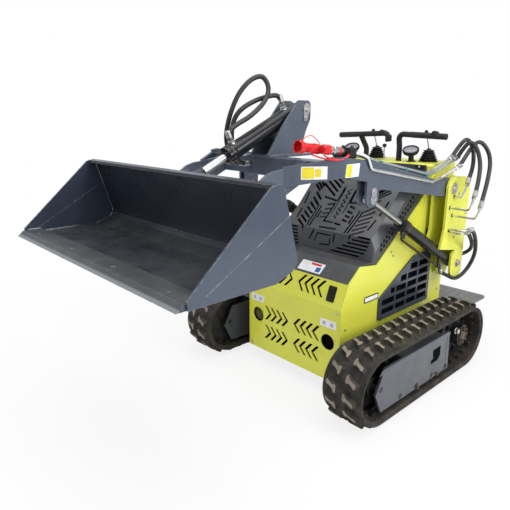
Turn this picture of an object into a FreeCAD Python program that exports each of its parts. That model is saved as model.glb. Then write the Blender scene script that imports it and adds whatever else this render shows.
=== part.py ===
import FreeCAD, Part
import math
import os
import re
import Sketcher
from FreeCAD import Vector

# Mini track loader: a walk-behind tracked machine with two lift arms and a front bucket.
# Millimetres.  +X is the machine's left side, +Y is its rear, +Z is up, and Z = 0 is the ground.
# Lengths called "..._back" are measured rearwards from the front face of the chassis.

SIZES = {
    # chassis box
    "half_width": 273,          # outer face of a side panel
    "panel_wall": 5,
    "panel_gap": 0.3,           # seam left between two panels
    "belly_height": 60,
    "front_height": 389,        # top of the upright front panel
    "brow_back": 40,            # top edge of the sloped front panel
    "brow_height": 489,
    "nose_back": 115,
    "nose_height": 550,
    "shoulder_back": 231,       # low corner of the side panel's slanted top edge
    "shoulder_height": 535,
    "rail_back": 588,           # high corner of that edge
    "rail_height": 803,
    "body_back": 815,           # rear face of the chassis
    # front panel openings
    "port_radius": 35,
    "port_offset": 210,
    "port_height": 233,
    "chevron_reach": 30,
    "chevron_rise": 34,
    "chevron_stroke": 15,
    "chevron_pitch": 35.5,
    "chevron_count": 4,
    "chevron_inset": 15,
    "chevron_low": 160,
    "chevron_high": 255,
    "chevron_brow": 448,
    # hood
    "hood_wall": 4,
    "hood_inset": 5,            # from the side panel's outer face
    "hood_half": "=half_width - hood_inset",
    "hood_shoulder": 21,        # from the hood's side to its flat slotted face
    "hood_plate_half": "=hood_half - hood_shoulder",
    "hood_front": 197,
    "hood_sill": 643,           # top of the steep lower face
    "hood_bend_back": 310,
    "hood_bend_height": 723,
    "hood_brow_back": 410,
    "hood_brow_height": 833,
    "hood_top_back": 470,
    "hood_top": 880,
    "hood_end": 600,
    "hood_bevel_drop": 50,
    # side grille
    "grille_front": 257,
    "grille_rear": 676,
    "grille_bottom": 274,
    "grille_corner": 378,       # height of the short front edge
    "grille_top": 525,
    "grille_top_back": 525,
    "grille_rim": 20,
    "grille_depth": 9,
    "grille_slat": 12,
    "grille_slot": 30,
    "grille_rib": 9,
    "grille_rib_pitch": 92,
    # engine
    "engine_half_width": 165,
    "engine_front": 235,
    "engine_rear": 585,
    "engine_height": 400,
    # towers that carry the arms and the lift cylinders
    "tower_gap": 18,            # from the side panel to the inner plate
    "tower_inner": "=half_width + tower_gap",
    "tower_width": 79,
    "tower_outer": "=tower_inner + tower_width",
    "ear_plate": 11,
    "ear_radius": 51,
    "tower_web": 12,
    "tower_top": 869,
    "tower_foot": 387,
    # operator's console
    "console_rim": 12,          # overhang past the side panels
    "console_half": "=half_width + console_rim",
    "console_front": 604,
    "console_top": 934,
    "console_wall": 5,
    # operator's platform
    "platform_half": 399,
    "platform_height": 215,
    "platform_rear": 1100,
    "platform_plate": 8,
    "platform_rim": 30,
    # undercarriage
    "track_inner": 345,
    "track_outer": 525,
    "track_height": 320,
    "lug_height": 19,
    "belt_thickness": 20,
    "lug_length": 30,
    "lug_gap": 6,               # slot between the two rows of lugs
    "lug_count": 32,
    "idler_back": -50,
    "sprocket_back": 643,
    "wheel_gap": 0.3,
    "wheel_inner": 400,
    "wheel_outer": 470,
    "roller_radius": 36,
    "roller_first": 92,
    "roller_pitch": 122,
    "frame_inner": 362,
    "frame_outer": 510,
    "frame_plate": 10,
    "frame_bottom": 60,
    "frame_top": 238,
    "frame_rear": 472,
    "axle_radius": 12,
    "hub_radius": 62,
    # lift arms
    "crest_back": -129,         # highest point of the arm's top edge
    "crest_rise": 19,
    "knee_back": 30,            # from here the top edge runs straight to the pivot
    "knee_height": 987,
    "pivot_back": 655,          # arm pivot
    "pivot_height": 829,
    "pivot_pin_radius": 20,
    "arm_gap": 17,              # from the tower's inner face to the arm
    "arm_inner": "=tower_inner + arm_gap",
    "arm_width": 46,
    "arm_outer": "=arm_inner + arm_width",
    "arm_boss_radius": 46,
    "hinge_back": -490,         # bucket hinge
    "hinge_height": 773,
    "toe_level": 785,           # height that the front of the arm is drawn from
    "toe_inner": 219,           # front plates of the arms
    "toe_outer": 231,
    "pin_radius": 12.5,
    "running_fit": 0.1,
    "seat_fit": 0.05,
    "pin_head": 5,
    # lift cylinders
    "lift_centre": "=(arm_inner + arm_outer) / 2",
    "lift_foot_back": 764,
    "lift_foot_height": 460,
    "lift_eye_back": 52,
    "lift_eye_height": 845,
    "lift_barrel_radius": 25,
    "lift_barrel_length": 525,
    "lift_rod_radius": 12.5,
    "lift_rod_length": 530,
    "lift_eye_half": 11,
    "lift_eye_radius": 25,
    # crossmember and tilt tower
    "cross_front": -180,
    "cross_rear": -105,
    "cross_bottom": 926,
    "cross_top": 990,
    "tower_base": 8,
    "tilt_plate_inner": 42,
    "tilt_plate": 8,
    "tilt_foot_back": 10,
    "tilt_foot_height": 1170,
    # tilt cylinder
    "tilt_eye_back": -505,
    "tilt_eye_height": 935,
    "tilt_barrel_radius": 31,
    "tilt_barrel_length": 404,
    "tilt_rod_radius": 15,
    "tilt_rod_length": 380,
    "tilt_eye_half": 18,
    "tilt_eye_radius": 22,
    "bore_gap": 0.5,            # between a rod and the inside of its barrel
    "gland_length": 34,
    "rear_port": 69,
    "front_port": 361,
    "port_top": 44.5,
    # bucket
    "bucket_half": 525,
    "bucket_wall": 6,
    "lip_back": -938,
    "edge_rear": -868,
    "edge_thickness": 12,
    "bucket_bottom": 711,
    "bucket_back_top": 962,
    "rim_front": -644,
    "rim_top": 976,
    "edge_hole_radius": 8,
    "edge_hole_pitch": 280,
    # quick-attach frame on the bucket
    "attach_half": 262,
    "attach_plate": 12,
    "attach_top": 930,
    "lug_plate": 10,
    "lug_clear": 5,
    # hoses and pipes
    "pipe_radius": 6,
    "pipe_bend": 22,
    "hose_radius": 9,
    "fitting_radius": 10,
    "small_pipe_radius": 5,
    "seat_gap": 0.3,            # between a piece and the face it is bolted to
    "coupler_back": -60,
    "coupler_height": 20,       # couplers' centre line above the arm
    # controls
    "grip_radius": 13,
    "boot_height": 56,
    "knob_radius": 9,
    "lever_radius": 3,
    "gauge_radius": 38,
}

doc = FreeCAD.newDocument("MiniTrackLoader")
sheet = doc.addObject("Spreadsheet::Sheet", "Sizes")
for row, (alias, value) in enumerate(SIZES.items(), 1):
    sheet.set(f"A{row}", alias)
    sheet.set(f"B{row}", str(value))
    sheet.setAlias(f"B{row}", alias)
# the frame's origin is the middle of the footprint of the whole machine
origin_row = len(SIZES) + 1
sheet.set(f"A{origin_row}", "chassis_front")
sheet.set(f"B{origin_row}", "=-(platform_rear + lip_back) / 2")
sheet.setAlias(f"B{origin_row}", "chassis_front")
doc.recompute()

NODES = []


# ---------------------------------------------------------------- drawing helpers

def cell(expression):
    """The expression with each size's name pointing at the sheet."""
    return re.sub(r"[a-z_][a-z_0-9]*",
                  lambda m: "Sizes." + m.group() if hasattr(sheet, m.group()) and m.group() != "atan2"
                  else m.group(), str(expression))


def number(expression):
    value = sheet.evalExpression(cell(expression))
    return float(getattr(value, "Value", value))


def new_body(name, node=True):
    body = doc.addObject("PartDesign::Body", name)
    body.Label = name
    body.setExpression("Placement.Base.y", cell("chassis_front"))
    if node:
        NODES.append(body)
    return body


PLANES = {"x": "YZ_Plane", "y": "XZ_Plane", "z": "XY_Plane"}


def new_sketch(body, axis, level, name):
    """A sketch square to an axis of the body; level is its place along its own normal."""
    sketch = body.newObject("Sketcher::SketchObject", name)
    plane = next(f for f in body.Origin.OriginFeatures if f.Role == PLANES[axis])
    sketch.AttachmentSupport = [(plane, "")]
    sketch.MapMode = "FlatFace"
    sketch.setExpression("AttachmentOffset.Base.z", cell(level))
    return sketch


def hold(sketch, rules):
    """Adds constraints together; each is paired with the expression of its value, or with None."""
    start = sketch.ConstraintCount
    sketch.addConstraint([rule for rule, _ in rules])
    for index, (_, expression) in enumerate(rules, start):
        if expression is not None:
            sketch.setExpression(f"Constraints[{index}]", cell(expression))


def placed(geometry, vertex, across, up):
    """The two constraints that put a point at its distances from the sketch's origin."""
    return [(Sketcher.Constraint("DistanceX", -1, 1, geometry, vertex, number(across)), across),
            (Sketcher.Constraint("DistanceY", -1, 1, geometry, vertex, number(up)), up)]


def draw_circle(sketch, across, up, radius):
    index = sketch.addGeometry(Part.Circle(Vector(number(across), number(up), 0), Vector(0, 0, 1),
                                           number(radius)), False)
    hold(sketch, placed(index, 3, across, up)
         + [(Sketcher.Constraint("Radius", index, number(radius)), radius)])


def corner_arc(before, corner, after, radius):
    """The two tangent points and the middle of the arc that rounds a corner."""
    one = (before - corner).normalize()
    two = (after - corner).normalize()
    half = one.getAngle(two) / 2
    reach = radius / math.tan(half)
    centre = corner + (one + two).normalize() * (radius / math.sin(half))
    middle = centre + (corner - centre).normalize() * radius
    return corner + one * reach, middle, corner + two * reach


def draw_outline(sketch, points):
    """A closed outline; a point is (across, up) or, for a rounded corner, (across, up, radius)."""
    spots = [Vector(number(p[0]), number(p[1]), 0) for p in points]
    count = len(points)
    starts, ends, arcs = [], [], {}
    for i, point in enumerate(points):
        starts.append(spots[i])
        ends.append(spots[i])
        if len(point) == 3:
            first, middle, last = corner_arc(spots[i - 1], spots[i], spots[(i + 1) % count],
                                             number(point[2]))
            ends[i], starts[i] = first, last
            arcs[i] = (first, middle, last)
    lines = [sketch.addGeometry(Part.LineSegment(starts[i], ends[(i + 1) % count]), False)
             for i in range(count)]
    rules = []
    for i, point in enumerate(points):
        before, after = lines[i - 1], lines[i]
        if i not in arcs:
            rules.append((Sketcher.Constraint("Coincident", before, 2, after, 1), None))
            rules += placed(after, 1, *point)
            continue
        first, middle, last = arcs[i]
        left_turn = (spots[i] - first).cross(last - spots[i]).z > 0
        ends_in_order = (first, middle, last) if left_turn else (last, middle, first)
        arc = sketch.addGeometry(Part.Arc(*ends_in_order), False)
        knuckle = sketch.addGeometry(Part.Point(spots[i]), True)
        near, far = (1, 2) if left_turn else (2, 1)
        rules += placed(knuckle, 1, point[0], point[1])
        rules += [(Sketcher.Constraint("PointOnObject", knuckle, 1, before), None),
                  (Sketcher.Constraint("PointOnObject", knuckle, 1, after), None),
                  (Sketcher.Constraint("Tangent", before, 2, arc, near), None),
                  (Sketcher.Constraint("Tangent", after, 1, arc, far), None),
                  (Sketcher.Constraint("Radius", arc, number(point[2])), point[2])]
    hold(sketch, rules)


def draw(sketch, shapes):
    """Circles are ("circle", across, up, radius); anything else is a list of outline points."""
    for shape in shapes:
        if shape[0] == "circle":
            draw_circle(sketch, *shape[1:])
        else:
            draw_outline(sketch, shape)


def add(body, axis, low, high, *shapes):
    """Adds the shapes, drawn square to the axis, between two levels along it."""
    step = sum(1 for f in body.Group if f.isDerivedFrom("PartDesign::Feature"))
    level = f"-({high})" if axis == "y" else low
    sketch = new_sketch(body, axis, level, f"{body.Name}_outline_{step}")
    draw(sketch, shapes)
    pad = body.newObject("PartDesign::Pad", f"{body.Name}_pad_{step}")
    pad.Profile = sketch
    pad.setExpression("Length", cell(f"({high}) - ({low})"))
    return pad


def cut(body, axis, low, high, *shapes):
    """Removes the shapes, drawn square to the axis, between two levels along it."""
    step = sum(1 for f in body.Group if f.isDerivedFrom("PartDesign::Feature"))
    level = f"-({low})" if axis == "y" else high
    sketch = new_sketch(body, axis, level, f"{body.Name}_outline_{step}")
    draw(sketch, shapes)
    pocket = body.newObject("PartDesign::Pocket", f"{body.Name}_pocket_{step}")
    pocket.Profile = sketch
    pocket.setExpression("Length", cell(f"({high}) - ({low})"))
    return pocket


def box(low_a, high_a, low_b, high_b):
    return [(low_a, low_b), (high_a, low_b), (high_a, high_b), (low_a, high_b)]


def mirrored(body, name):
    """The same piece on the machine's right side."""
    twin = doc.addObject("Part::Mirroring", name)
    twin.Label = name
    twin.Source = body
    twin.Normal = (1, 0, 0)
    twin.Base = (0, 0, 0)
    NODES.append(twin)
    return twin


def new_feature(name, shape):
    feature = doc.addObject("Part::Feature", name)
    feature.Label = name
    feature.Shape = shape
    feature.Placement = FreeCAD.Placement(Vector(0, number("chassis_front"), 0), FreeCAD.Rotation())
    NODES.append(feature)
    return feature


def bent_path(points, radius_of=None):
    """Straight runs joined by tangent arcs, as large as the two runs of each corner allow."""
    spots = [Vector(*p) for p in points]
    edges = []
    here = spots[0]
    for i in range(1, len(spots) - 1):
        one = spots[i - 1] - spots[i]
        two = spots[i + 1] - spots[i]
        turn = math.pi - one.getAngle(two)
        reach = 0.45 * min(one.Length, two.Length)
        radius = reach / math.tan(turn / 2)
        if radius_of:
            radius = min(radius, radius_of)
        first, middle, last = corner_arc(spots[i - 1], spots[i], spots[i + 1], radius)
        edges.append(Part.LineSegment(here, first).toShape())
        edges.append(Part.Arc(first, middle, last).toShape())
        here = last
    edges.append(Part.LineSegment(here, spots[-1]).toShape())
    return Part.Wire(edges)


def tube(points, radius, bend=None):
    path = bent_path(points, bend)
    start = Vector(*points[0])
    along = (Vector(*points[1]) - start).normalize()
    ring = Part.Wire([Part.Circle(start, along, radius).toShape()])
    solid = path.makePipeShell([ring], True, False)
    return solid


# ---------------------------------------------------------------- chassis

def make_front_panel():
    body = new_body("front_panel")
    side = "half_width - panel_wall - panel_gap"
    add(body, "x", f"-({side})", side,
        [("0", "belly_height"), ("panel_wall", "belly_height"), ("panel_wall", "front_height"),
         ("brow_back + panel_wall", "brow_height"), ("brow_back", "brow_height"), ("0", "front_height")])
    cut(body, "y", "0", "panel_wall * 2",
        ("circle", "port_offset", "port_height", "port_radius"),
        ("circle", "-port_offset", "port_height", "port_radius"))
    for sign in (1, -1):
        for rows in (("chevron_low", "chevron_high"), ("chevron_brow",)):
            doc.recompute()
            slot = cut(body, "y", "0", "brow_back + panel_wall * 2",
                       *[chevron(sign, row) for row in rows])
            doc.recompute()
            pattern = body.newObject("PartDesign::LinearPattern", f"{slot.Name}_row")
            pattern.Originals = [slot]
            pattern.Direction = (slot.Profile[0], ["H_Axis"])
            pattern.Reversed = sign < 0
            pattern.setExpression("Length", cell("chevron_pitch * (chevron_count - 1)"))
            pattern.setExpression("Occurrences", cell("chevron_count"))
            body.Tip = pattern


def chevron(sign, row):
    """One arrow-shaped slot that points to the machine's centre line."""
    tip = "chevron_inset"
    reach = "chevron_inset + chevron_reach"
    return [(f"{sign} * ({tip})", row),
            (f"{sign} * ({reach})", f"{row} - chevron_rise"),
            (f"{sign} * ({reach} + chevron_stroke)", f"{row} - chevron_rise"),
            (f"{sign} * ({tip} + chevron_stroke)", row),
            (f"{sign} * ({reach} + chevron_stroke)", f"{row} + chevron_rise"),
            (f"{sign} * ({reach})", f"{row} + chevron_rise")]


def make_nose_panel():
    body = new_body("nose_panel")
    side = "half_width - panel_wall - panel_gap"
    add(body, "x", f"-({side})", side,
        [("brow_back", "brow_height"), ("nose_back", "nose_height"), ("hood_front - 2", "nose_height"),
         ("hood_front - 2", "nose_height - panel_wall"), ("nose_back + 2", "nose_height - panel_wall"),
         ("brow_back + panel_wall", "brow_height")])


def hood_section(drop):
    """The hood seen from the side; drop lowers its upper faces."""
    return [("hood_front", "nose_height - 8"),
            (f"hood_front + 19 + {drop} * 0.2", f"hood_sill - {drop}"),
            (f"hood_bend_back + {drop} * 0.2", f"hood_bend_height - {drop}"),
            (f"hood_brow_back + {drop} * 0.2", f"hood_brow_height - {drop}"),
            (f"hood_top_back + {drop} * 0.2", f"hood_top - {drop}"),
            ("hood_end", f"hood_top - {drop}"),
            ("hood_end", "rail_height + panel_gap"),
            ("rail_back - 1", "rail_height + panel_gap"),
            ("shoulder_back - 1", "shoulder_height + panel_gap")]


def make_hood():
    body = new_body("hood")
    add(body, "x", "-hood_plate_half", "hood_plate_half", hood_section("0"))
    for sign in (1, -1):
        low = new_sketch(body, "x", f"{sign} * hood_plate_half", f"hood_edge_{sign + 1}")
        draw(low, [hood_section("0")])
        high = new_sketch(body, "x", f"{sign} * hood_half", f"hood_side_{sign + 1}")
        draw(high, [hood_section("hood_bevel_drop")])
        loft = body.newObject("PartDesign::AdditiveLoft", f"hood_bevel_{sign + 1}")
        loft.Profile = low
        loft.Sections = [high]
        loft.Ruled = True
    hollow = "hood_plate_half - hood_wall"
    cut(body, "x", f"-({hollow})", hollow,
        [("hood_front + hood_wall", "shoulder_height - 30"),
         ("hood_front + 19 + hood_wall", "hood_sill - 2"),
         ("hood_bend_back + hood_wall * 0.65", "hood_bend_height - hood_wall"),
         ("hood_brow_back + hood_wall * 0.5", "hood_brow_height - hood_wall"),
         ("hood_top_back", "hood_top - hood_wall"),
         ("hood_end - hood_wall", "hood_top - hood_wall"),
         ("hood_end - hood_wall", "rail_height - 30"),
         ("shoulder_back", "shoulder_height - 30")])


def side_section():
    return [("0", "belly_height"), ("0", "front_height"), ("brow_back", "brow_height"),
            ("nose_back", "nose_height"), ("shoulder_back", "shoulder_height"),
            ("rail_back", "rail_height"), ("body_back", "rail_height"), ("body_back", "belly_height")]


def grille_section(inset):
    """The grille's outline, drawn in by the inset."""
    return [(f"grille_front + {inset}", f"grille_bottom + {inset}", "14"),
            (f"grille_rear - {inset}", f"grille_bottom + {inset}", "14"),
            (f"grille_rear - {inset}", f"grille_top - {inset}", "14"),
            (f"grille_top_back + {inset} * 0.25", f"grille_top - {inset}", "8"),
            (f"grille_front + {inset}", f"grille_corner - {inset} * 0.25", "8")]


def make_side_panel():
    body = new_body("left_side_panel")
    add(body, "x", "half_width - panel_wall", "half_width", side_section())
    cut(body, "x", "half_width - panel_wall", "half_width", grille_section("grille_rim * 0.6"))
    mirrored(body, "right_side_panel")


def make_grille():
    body = new_body("left_grille")
    add(body, "x", "half_width", "half_width + grille_depth", grille_section("0"))
    doc.recompute()
    rise = number("grille_slot + grille_slat")
    rows = int(number("grille_top - grille_bottom - 2 * grille_rim") // rise)
    slant = "(grille_top_back - grille_front) / (grille_top - grille_corner)"
    for row in range(rows):
        low = f"grille_bottom + grille_rim + {row} * (grille_slot + grille_slat)"
        high = f"{low} + grille_slot"
        front = f"max(grille_front + grille_rim; " \
                f"grille_front + grille_rim * 1.5 + ({high} - grille_corner) * {slant})"
        cut(body, "x", "half_width", "half_width + grille_depth",
            box(front, "grille_rear - grille_rim", low, high))
    for rib in (1, 2, 3):
        middle = f"grille_rear - grille_rim - {rib} * grille_rib_pitch"
        top = f"min(grille_top - grille_rim; grille_corner + ({middle} - grille_front) / ({slant}) - 12)"
        add(body, "x", "half_width", "half_width + grille_depth - 2",
            box(middle, f"{middle} + grille_rib", "grille_bottom + grille_rim / 2", top))
    mirrored(body, "right_grille")


def make_belly_and_rear():
    side = "half_width - panel_wall - panel_gap"
    belly = new_body("belly_plate")
    add(belly, "z", "belly_height", "belly_height + panel_wall",
        box(f"-({side})", side, "panel_wall + panel_gap", "body_back - panel_wall - panel_gap"))
    rear = new_body("rear_panel")
    add(rear, "y", "body_back - panel_wall", "body_back",
        box(f"-({side})", side, "belly_height", "rail_height"))


def make_engine():
    body = new_body("engine_block")
    low = "belly_height + panel_wall"
    add(body, "z", low, f"{low} + engine_height",
        box("-engine_half_width", "engine_half_width", "engine_front", "engine_rear"))


def tower_section():
    return [("pivot_back - ear_radius", "pivot_height + ear_radius", "ear_radius - 1"),
            ("pivot_back + 45", "pivot_height + ear_radius"),
            ("body_back - 12", "tower_top"),
            ("body_back", "tower_top - 14"),
            ("body_back", "tower_foot", "40"),
            ("lift_foot_back - 61", "tower_foot", "55"),
            ("lift_foot_back - 61", "lift_foot_height + 50"),
            ("lift_foot_back - 31", "lift_foot_height + 70"),
            ("rail_back - 5", "lift_foot_height + 97"),
            ("pivot_back - ear_radius + 4", "lift_foot_height + 185")]


def make_tower():
    body = new_body("left_tower")
    outer_low = "tower_outer - ear_plate"
    inner_high = "tower_inner + ear_plate"
    add(body, "x", outer_low, "tower_outer", tower_section())
    add(body, "x", "tower_inner", inner_high, tower_section())
    web_front = "body_back - tower_web"
    add(body, "y", web_front, "body_back",
        box("half_width + panel_gap", outer_low + " + 1", "tower_foot + 40", "rail_height"))
    add(body, "y", web_front, "body_back",
        box("console_half + panel_gap", outer_low + " + 1", "rail_height - 1", "tower_top - 20"))
    add(body, "x", "console_half + panel_gap", "tower_inner + 1",
        ("circle", "pivot_back", "pivot_height", "32"))
    add(body, "x", "half_width + panel_gap", "tower_inner + 1",
        ("circle", "lift_foot_back", "lift_foot_height", "32"))
    cut(body, "x", "tower_inner - 10", "tower_outer",
        ("circle", "pivot_back", "pivot_height", "pivot_pin_radius + seat_fit"),
        ("circle", "lift_foot_back", "lift_foot_height", "pin_radius + seat_fit"))
    mirrored(body, "right_tower")


def make_chassis_pins():
    pivot = new_body("left_pivot_pin")
    add(pivot, "x", "console_half + panel_gap", "tower_outer + pin_head",
        ("circle", "pivot_back", "pivot_height", "pivot_pin_radius"))
    add(pivot, "x", "tower_outer", "tower_outer + pin_head",
        ("circle", "pivot_back", "pivot_height", "pivot_pin_radius + 6"))
    mirrored(pivot, "right_pivot_pin")
    foot = new_body("left_lift_foot_pin")
    add(foot, "x", "tower_inner - 9", "tower_outer + pin_head",
        ("circle", "lift_foot_back", "lift_foot_height", "pin_radius"))
    add(foot, "x", "tower_outer", "tower_outer + pin_head",
        ("circle", "lift_foot_back", "lift_foot_height", "pin_radius + 7"))
    mirrored(foot, "right_lift_foot_pin")


def make_console():
    body = new_body("control_console")
    low = "rail_height + panel_gap"
    section = [("console_front", low), ("console_front", "console_top - 12"),
               ("console_front + 12", "console_top"), ("body_back", "console_top"), ("body_back", low)]
    add(body, "x", "-console_half", "console_half", section)
    hollow = "console_half - console_wall"
    cut(body, "x", f"-({hollow})", hollow,
        box("console_front + console_wall", "body_back - console_wall", low,
            "console_top - console_wall - 8"))


def make_hand_grips():
    """Two fixed grips for the hands, each carried by a bent upright on the console."""
    radius = number("grip_radius")
    foot = number("console_top + seat_gap")
    bend = 34
    left = tube([(325, 630, 1053), (86, 630, 1060), (84, 646, 1000), (84, 646, foot)], radius, bend)
    bar = tube([(-256, 628, 1047), (24, 632, 1062), (29, 632, 1022)], radius, bend)
    upright = tube([(-131, 630, 1052), (-127, 680, 985), (-127, 680, foot)], radius, bend)
    new_feature("hand_grips", Part.Compound([left, bar.fuse(upright).removeSplitter()]))


def make_controls():
    """Rubber boots with the drive levers, a throttle knob and two round instruments on the console."""
    body = new_body("controls")
    foot = "console_top + seat_gap"
    for across, back in (("204", "708"), ("-100", "735")):
        for step in range(4):
            add(body, "z", f"{foot} + {step} * boot_height / 4 - {min(step, 1)}",
                f"{foot} + {step + 1} * boot_height / 4", ("circle", across, back, f"44 - {step} * 6"))
        add(body, "z", f"{foot} + boot_height - 1", "console_top + 138", ("circle", across, back, "lever_radius"))
        add(body, "z", "console_top + 124", "console_top + 150", ("circle", across, back, "knob_radius"))
    add(body, "z", foot, "console_top + 62", ("circle", "5", "640", "lever_radius"))
    add(body, "z", "console_top + 60", "console_top + 78", ("circle", "5", "640", "knob_radius + 1"))
    for across in ("150", "-186"):
        low = "console_top + 12"
        add(body, "y", "628", "660", ("circle", across, f"{low} + gauge_radius", "gauge_radius"))
        add(body, "z", foot, f"{low} + 8", box(f"{across} - 16", f"{across} + 16", "632", "656"))


def make_platform():
    body = new_body("operator_platform")
    top = "platform_height"
    low = "platform_height - platform_plate"
    add(body, "z", low, top,
        [("-platform_half", "body_back + panel_gap"), ("platform_half", "body_back + panel_gap"),
         ("platform_half", "platform_rear", "30"), ("-platform_half", "platform_rear", "30")])
    add(body, "y", "platform_rear - platform_plate", "platform_rear",
        box("-platform_half + 34", "platform_half - 34", "platform_height - platform_rim", low))
    for offset in (-190, 180):
        add(body, "x", f"{offset}", f"{offset} + 10",
            [("body_back + panel_gap", low), ("platform_rear - 60", low),
             ("body_back + 30", "platform_height - 120"), ("body_back + panel_gap", "platform_height - 120")])


# ---------------------------------------------------------------- undercarriage

def track_point(distance, proud):
    """A point of the track's run, proud of the belt's outer face, and its outward direction."""
    front, rear = number("idler_back"), number("sprocket_back")
    middle = number("track_height / 2")
    radius = number("track_height / 2 - lug_height")
    straight = rear - front
    half_turn = math.pi * radius
    distance = distance % (2 * straight + 2 * half_turn)
    if distance < straight:
        return Vector(0, front + distance, middle - radius - proud)
    distance -= straight
    if distance < half_turn:
        angle = -math.pi / 2 + distance / radius
        return Vector(0, rear + (radius + proud) * math.cos(angle), middle + (radius + proud) * math.sin(angle))
    distance -= half_turn
    if distance < straight:
        return Vector(0, rear - distance, middle + radius + proud)
    angle = math.pi / 2 + (distance - straight) / radius
    return Vector(0, front + (radius + proud) * math.cos(angle), middle + (radius + proud) * math.sin(angle))


def lugged_wire(shift):
    """The outer outline of one row of lugs; shift moves it along the belt by a share of a pitch."""
    radius = number("track_height / 2 - lug_height")
    length = 2 * (number("sprocket_back - idler_back")) + 2 * math.pi * radius
    count = int(number("lug_count"))
    pitch = length / count
    lug = number("lug_length")
    flank = number("lug_height") * 0.25
    height = number("lug_height")
    edges = []
    for i in range(count):
        start = (i + shift) * pitch
        corners = [track_point(start, 0), track_point(start + flank, height),
                   track_point(start + lug - flank, height), track_point(start + lug, 0)]
        for a, b in zip(corners, corners[1:]):
            edges.append(Part.LineSegment(a, b).toShape())
        middle = track_point((start + lug + start + pitch) / 2, 0)
        end = track_point(start + pitch, 0)
        chord = (end - corners[3])
        if chord.cross(middle - corners[3]).Length / chord.Length < 0.01:
            edges.append(Part.LineSegment(corners[3], end).toShape())
        else:
            edges.append(Part.Arc(corners[3], middle, end).toShape())
    return Part.Wire(edges)


def make_tracks():
    front, rear = number("idler_back"), number("sprocket_back")
    middle = number("track_height / 2")
    inner = number("track_height / 2 - lug_height - belt_thickness")
    low, high = Vector(0, front, middle - inner), Vector(0, rear, middle - inner)
    top_rear, top_front = Vector(0, rear, middle + inner), Vector(0, front, middle + inner)
    hole = Part.Wire([Part.LineSegment(low, high).toShape(),
                      Part.Arc(high, Vector(0, rear + inner, middle), top_rear).toShape(),
                      Part.LineSegment(top_rear, top_front).toShape(),
                      Part.Arc(top_front, Vector(0, front - inner, middle), low).toShape()])
    start, end = number("track_inner"), number("track_outer")
    centre = (start + end) / 2
    rows = []
    for shift, a, b in ((0, start, centre), (0.5, centre, end)):
        face = Part.makeFace([lugged_wire(shift), hole], "Part::FaceMakerBullseye")
        face.translate(Vector(a, 0, 0))
        rows.append(face.extrude(Vector(b - a, 0, 0)))
    loop = rows[0].fuse(rows[1])
    left = new_feature("left_track", loop)
    mirrored(left, "right_track")


def make_track_frame():
    body = new_body("left_track_frame")
    inner_high = "frame_inner + frame_plate"
    outer_low = "frame_outer - frame_plate"
    nose = [("-30", "frame_top"), ("frame_rear - 3", "frame_top"), ("frame_rear + 8", "frame_bottom"),
            ("-40", "frame_bottom"), ("idler_back - 32", "track_height / 2 - 16")]
    add(body, "x", outer_low, "frame_outer", nose)
    tail = [("-30", "frame_top"), ("sprocket_back + 78", "frame_top", "70"),
            ("sprocket_back + 78", "frame_top - 156", "70"), ("frame_rear", "frame_bottom"),
            ("-40", "frame_bottom"), ("idler_back - 32", "track_height / 2 - 16")]
    add(body, "x", "frame_inner", inner_high, tail)
    add(body, "x", inner_high + " - 1", outer_low + " + 1",
        box("120", "440", "150", "frame_top - 8"))
    for i in range(4):
        middle = f"roller_first + {i} * roller_pitch"
        height = "track_height / 2 - (track_height / 2 - lug_height - belt_thickness) + roller_radius + wheel_gap"
        cut(body, "x", "frame_inner", "frame_outer", ("circle", middle, height, "axle_radius + seat_fit"))
    cut(body, "x", "frame_inner", "frame_outer",
        ("circle", "idler_back", "track_height / 2", "axle_radius + seat_fit"))
    cut(body, "x", "frame_inner", inner_high,
        ("circle", "sprocket_back", "track_height / 2", "hub_radius + seat_fit"))
    mirrored(body, "right_track_frame")


def make_frame_beams():
    """Square beams that carry the track frames on the chassis."""
    beams = new_body("frame_beams")
    for sign in (1, -1):
        for front in ("90", "480"):
            add(beams, "x", *both_sides(sign, "half_width", "frame_inner"),
                box(front, f"{front} + 80", "110", "190"))


def make_wheels():
    middle = "track_height / 2"
    rim = "track_height / 2 - lug_height - belt_thickness - wheel_gap"
    idler = new_body("left_idler")
    add(idler, "x", "wheel_inner", "wheel_outer", ("circle", "idler_back", middle, rim))
    cut(idler, "x", "wheel_outer - 22", "wheel_outer",
        ("circle", "idler_back", middle, f"{rim} - 18"))
    add(idler, "x", "wheel_inner", "wheel_outer + 6", ("circle", "idler_back", middle, "38"))
    add(idler, "x", "frame_inner + 1", "frame_outer - 1", ("circle", "idler_back", middle, "axle_radius"))
    mirrored(idler, "right_idler")

    sprocket = new_body("left_sprocket")
    add(sprocket, "x", "wheel_inner + 22", "wheel_outer - 22", ("circle", "sprocket_back", middle, rim))
    for i in range(6):
        angle = math.radians(60 * i + 30)
        cut(sprocket, "x", "wheel_inner + 22", "wheel_outer - 22",
            ("circle", f"sprocket_back + ({rim} - 36) * {math.cos(angle):.4f}",
             f"{middle} + ({rim} - 36) * {math.sin(angle):.4f}", "17"))
    add(sprocket, "x", "wheel_inner + 10", "wheel_outer + 20",
        ("circle", "sprocket_back", middle, "hub_radius - 12"))
    add(sprocket, "x", "frame_inner - 10", "wheel_inner + 22", ("circle", "sprocket_back", middle, "hub_radius"))
    mirrored(sprocket, "right_sprocket")

    rollers = new_body("left_rollers")
    height = "lug_height + belt_thickness + roller_radius + wheel_gap"
    for i in range(4):
        back = f"roller_first + {i} * roller_pitch"
        add(rollers, "x", "wheel_inner", "wheel_outer", ("circle", back, height, "roller_radius"))
        add(rollers, "x", "frame_inner + 1", "frame_outer - 1", ("circle", back, height, "axle_radius"))
    mirrored(rollers, "right_rollers")


# ---------------------------------------------------------------- lift arms

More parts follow.
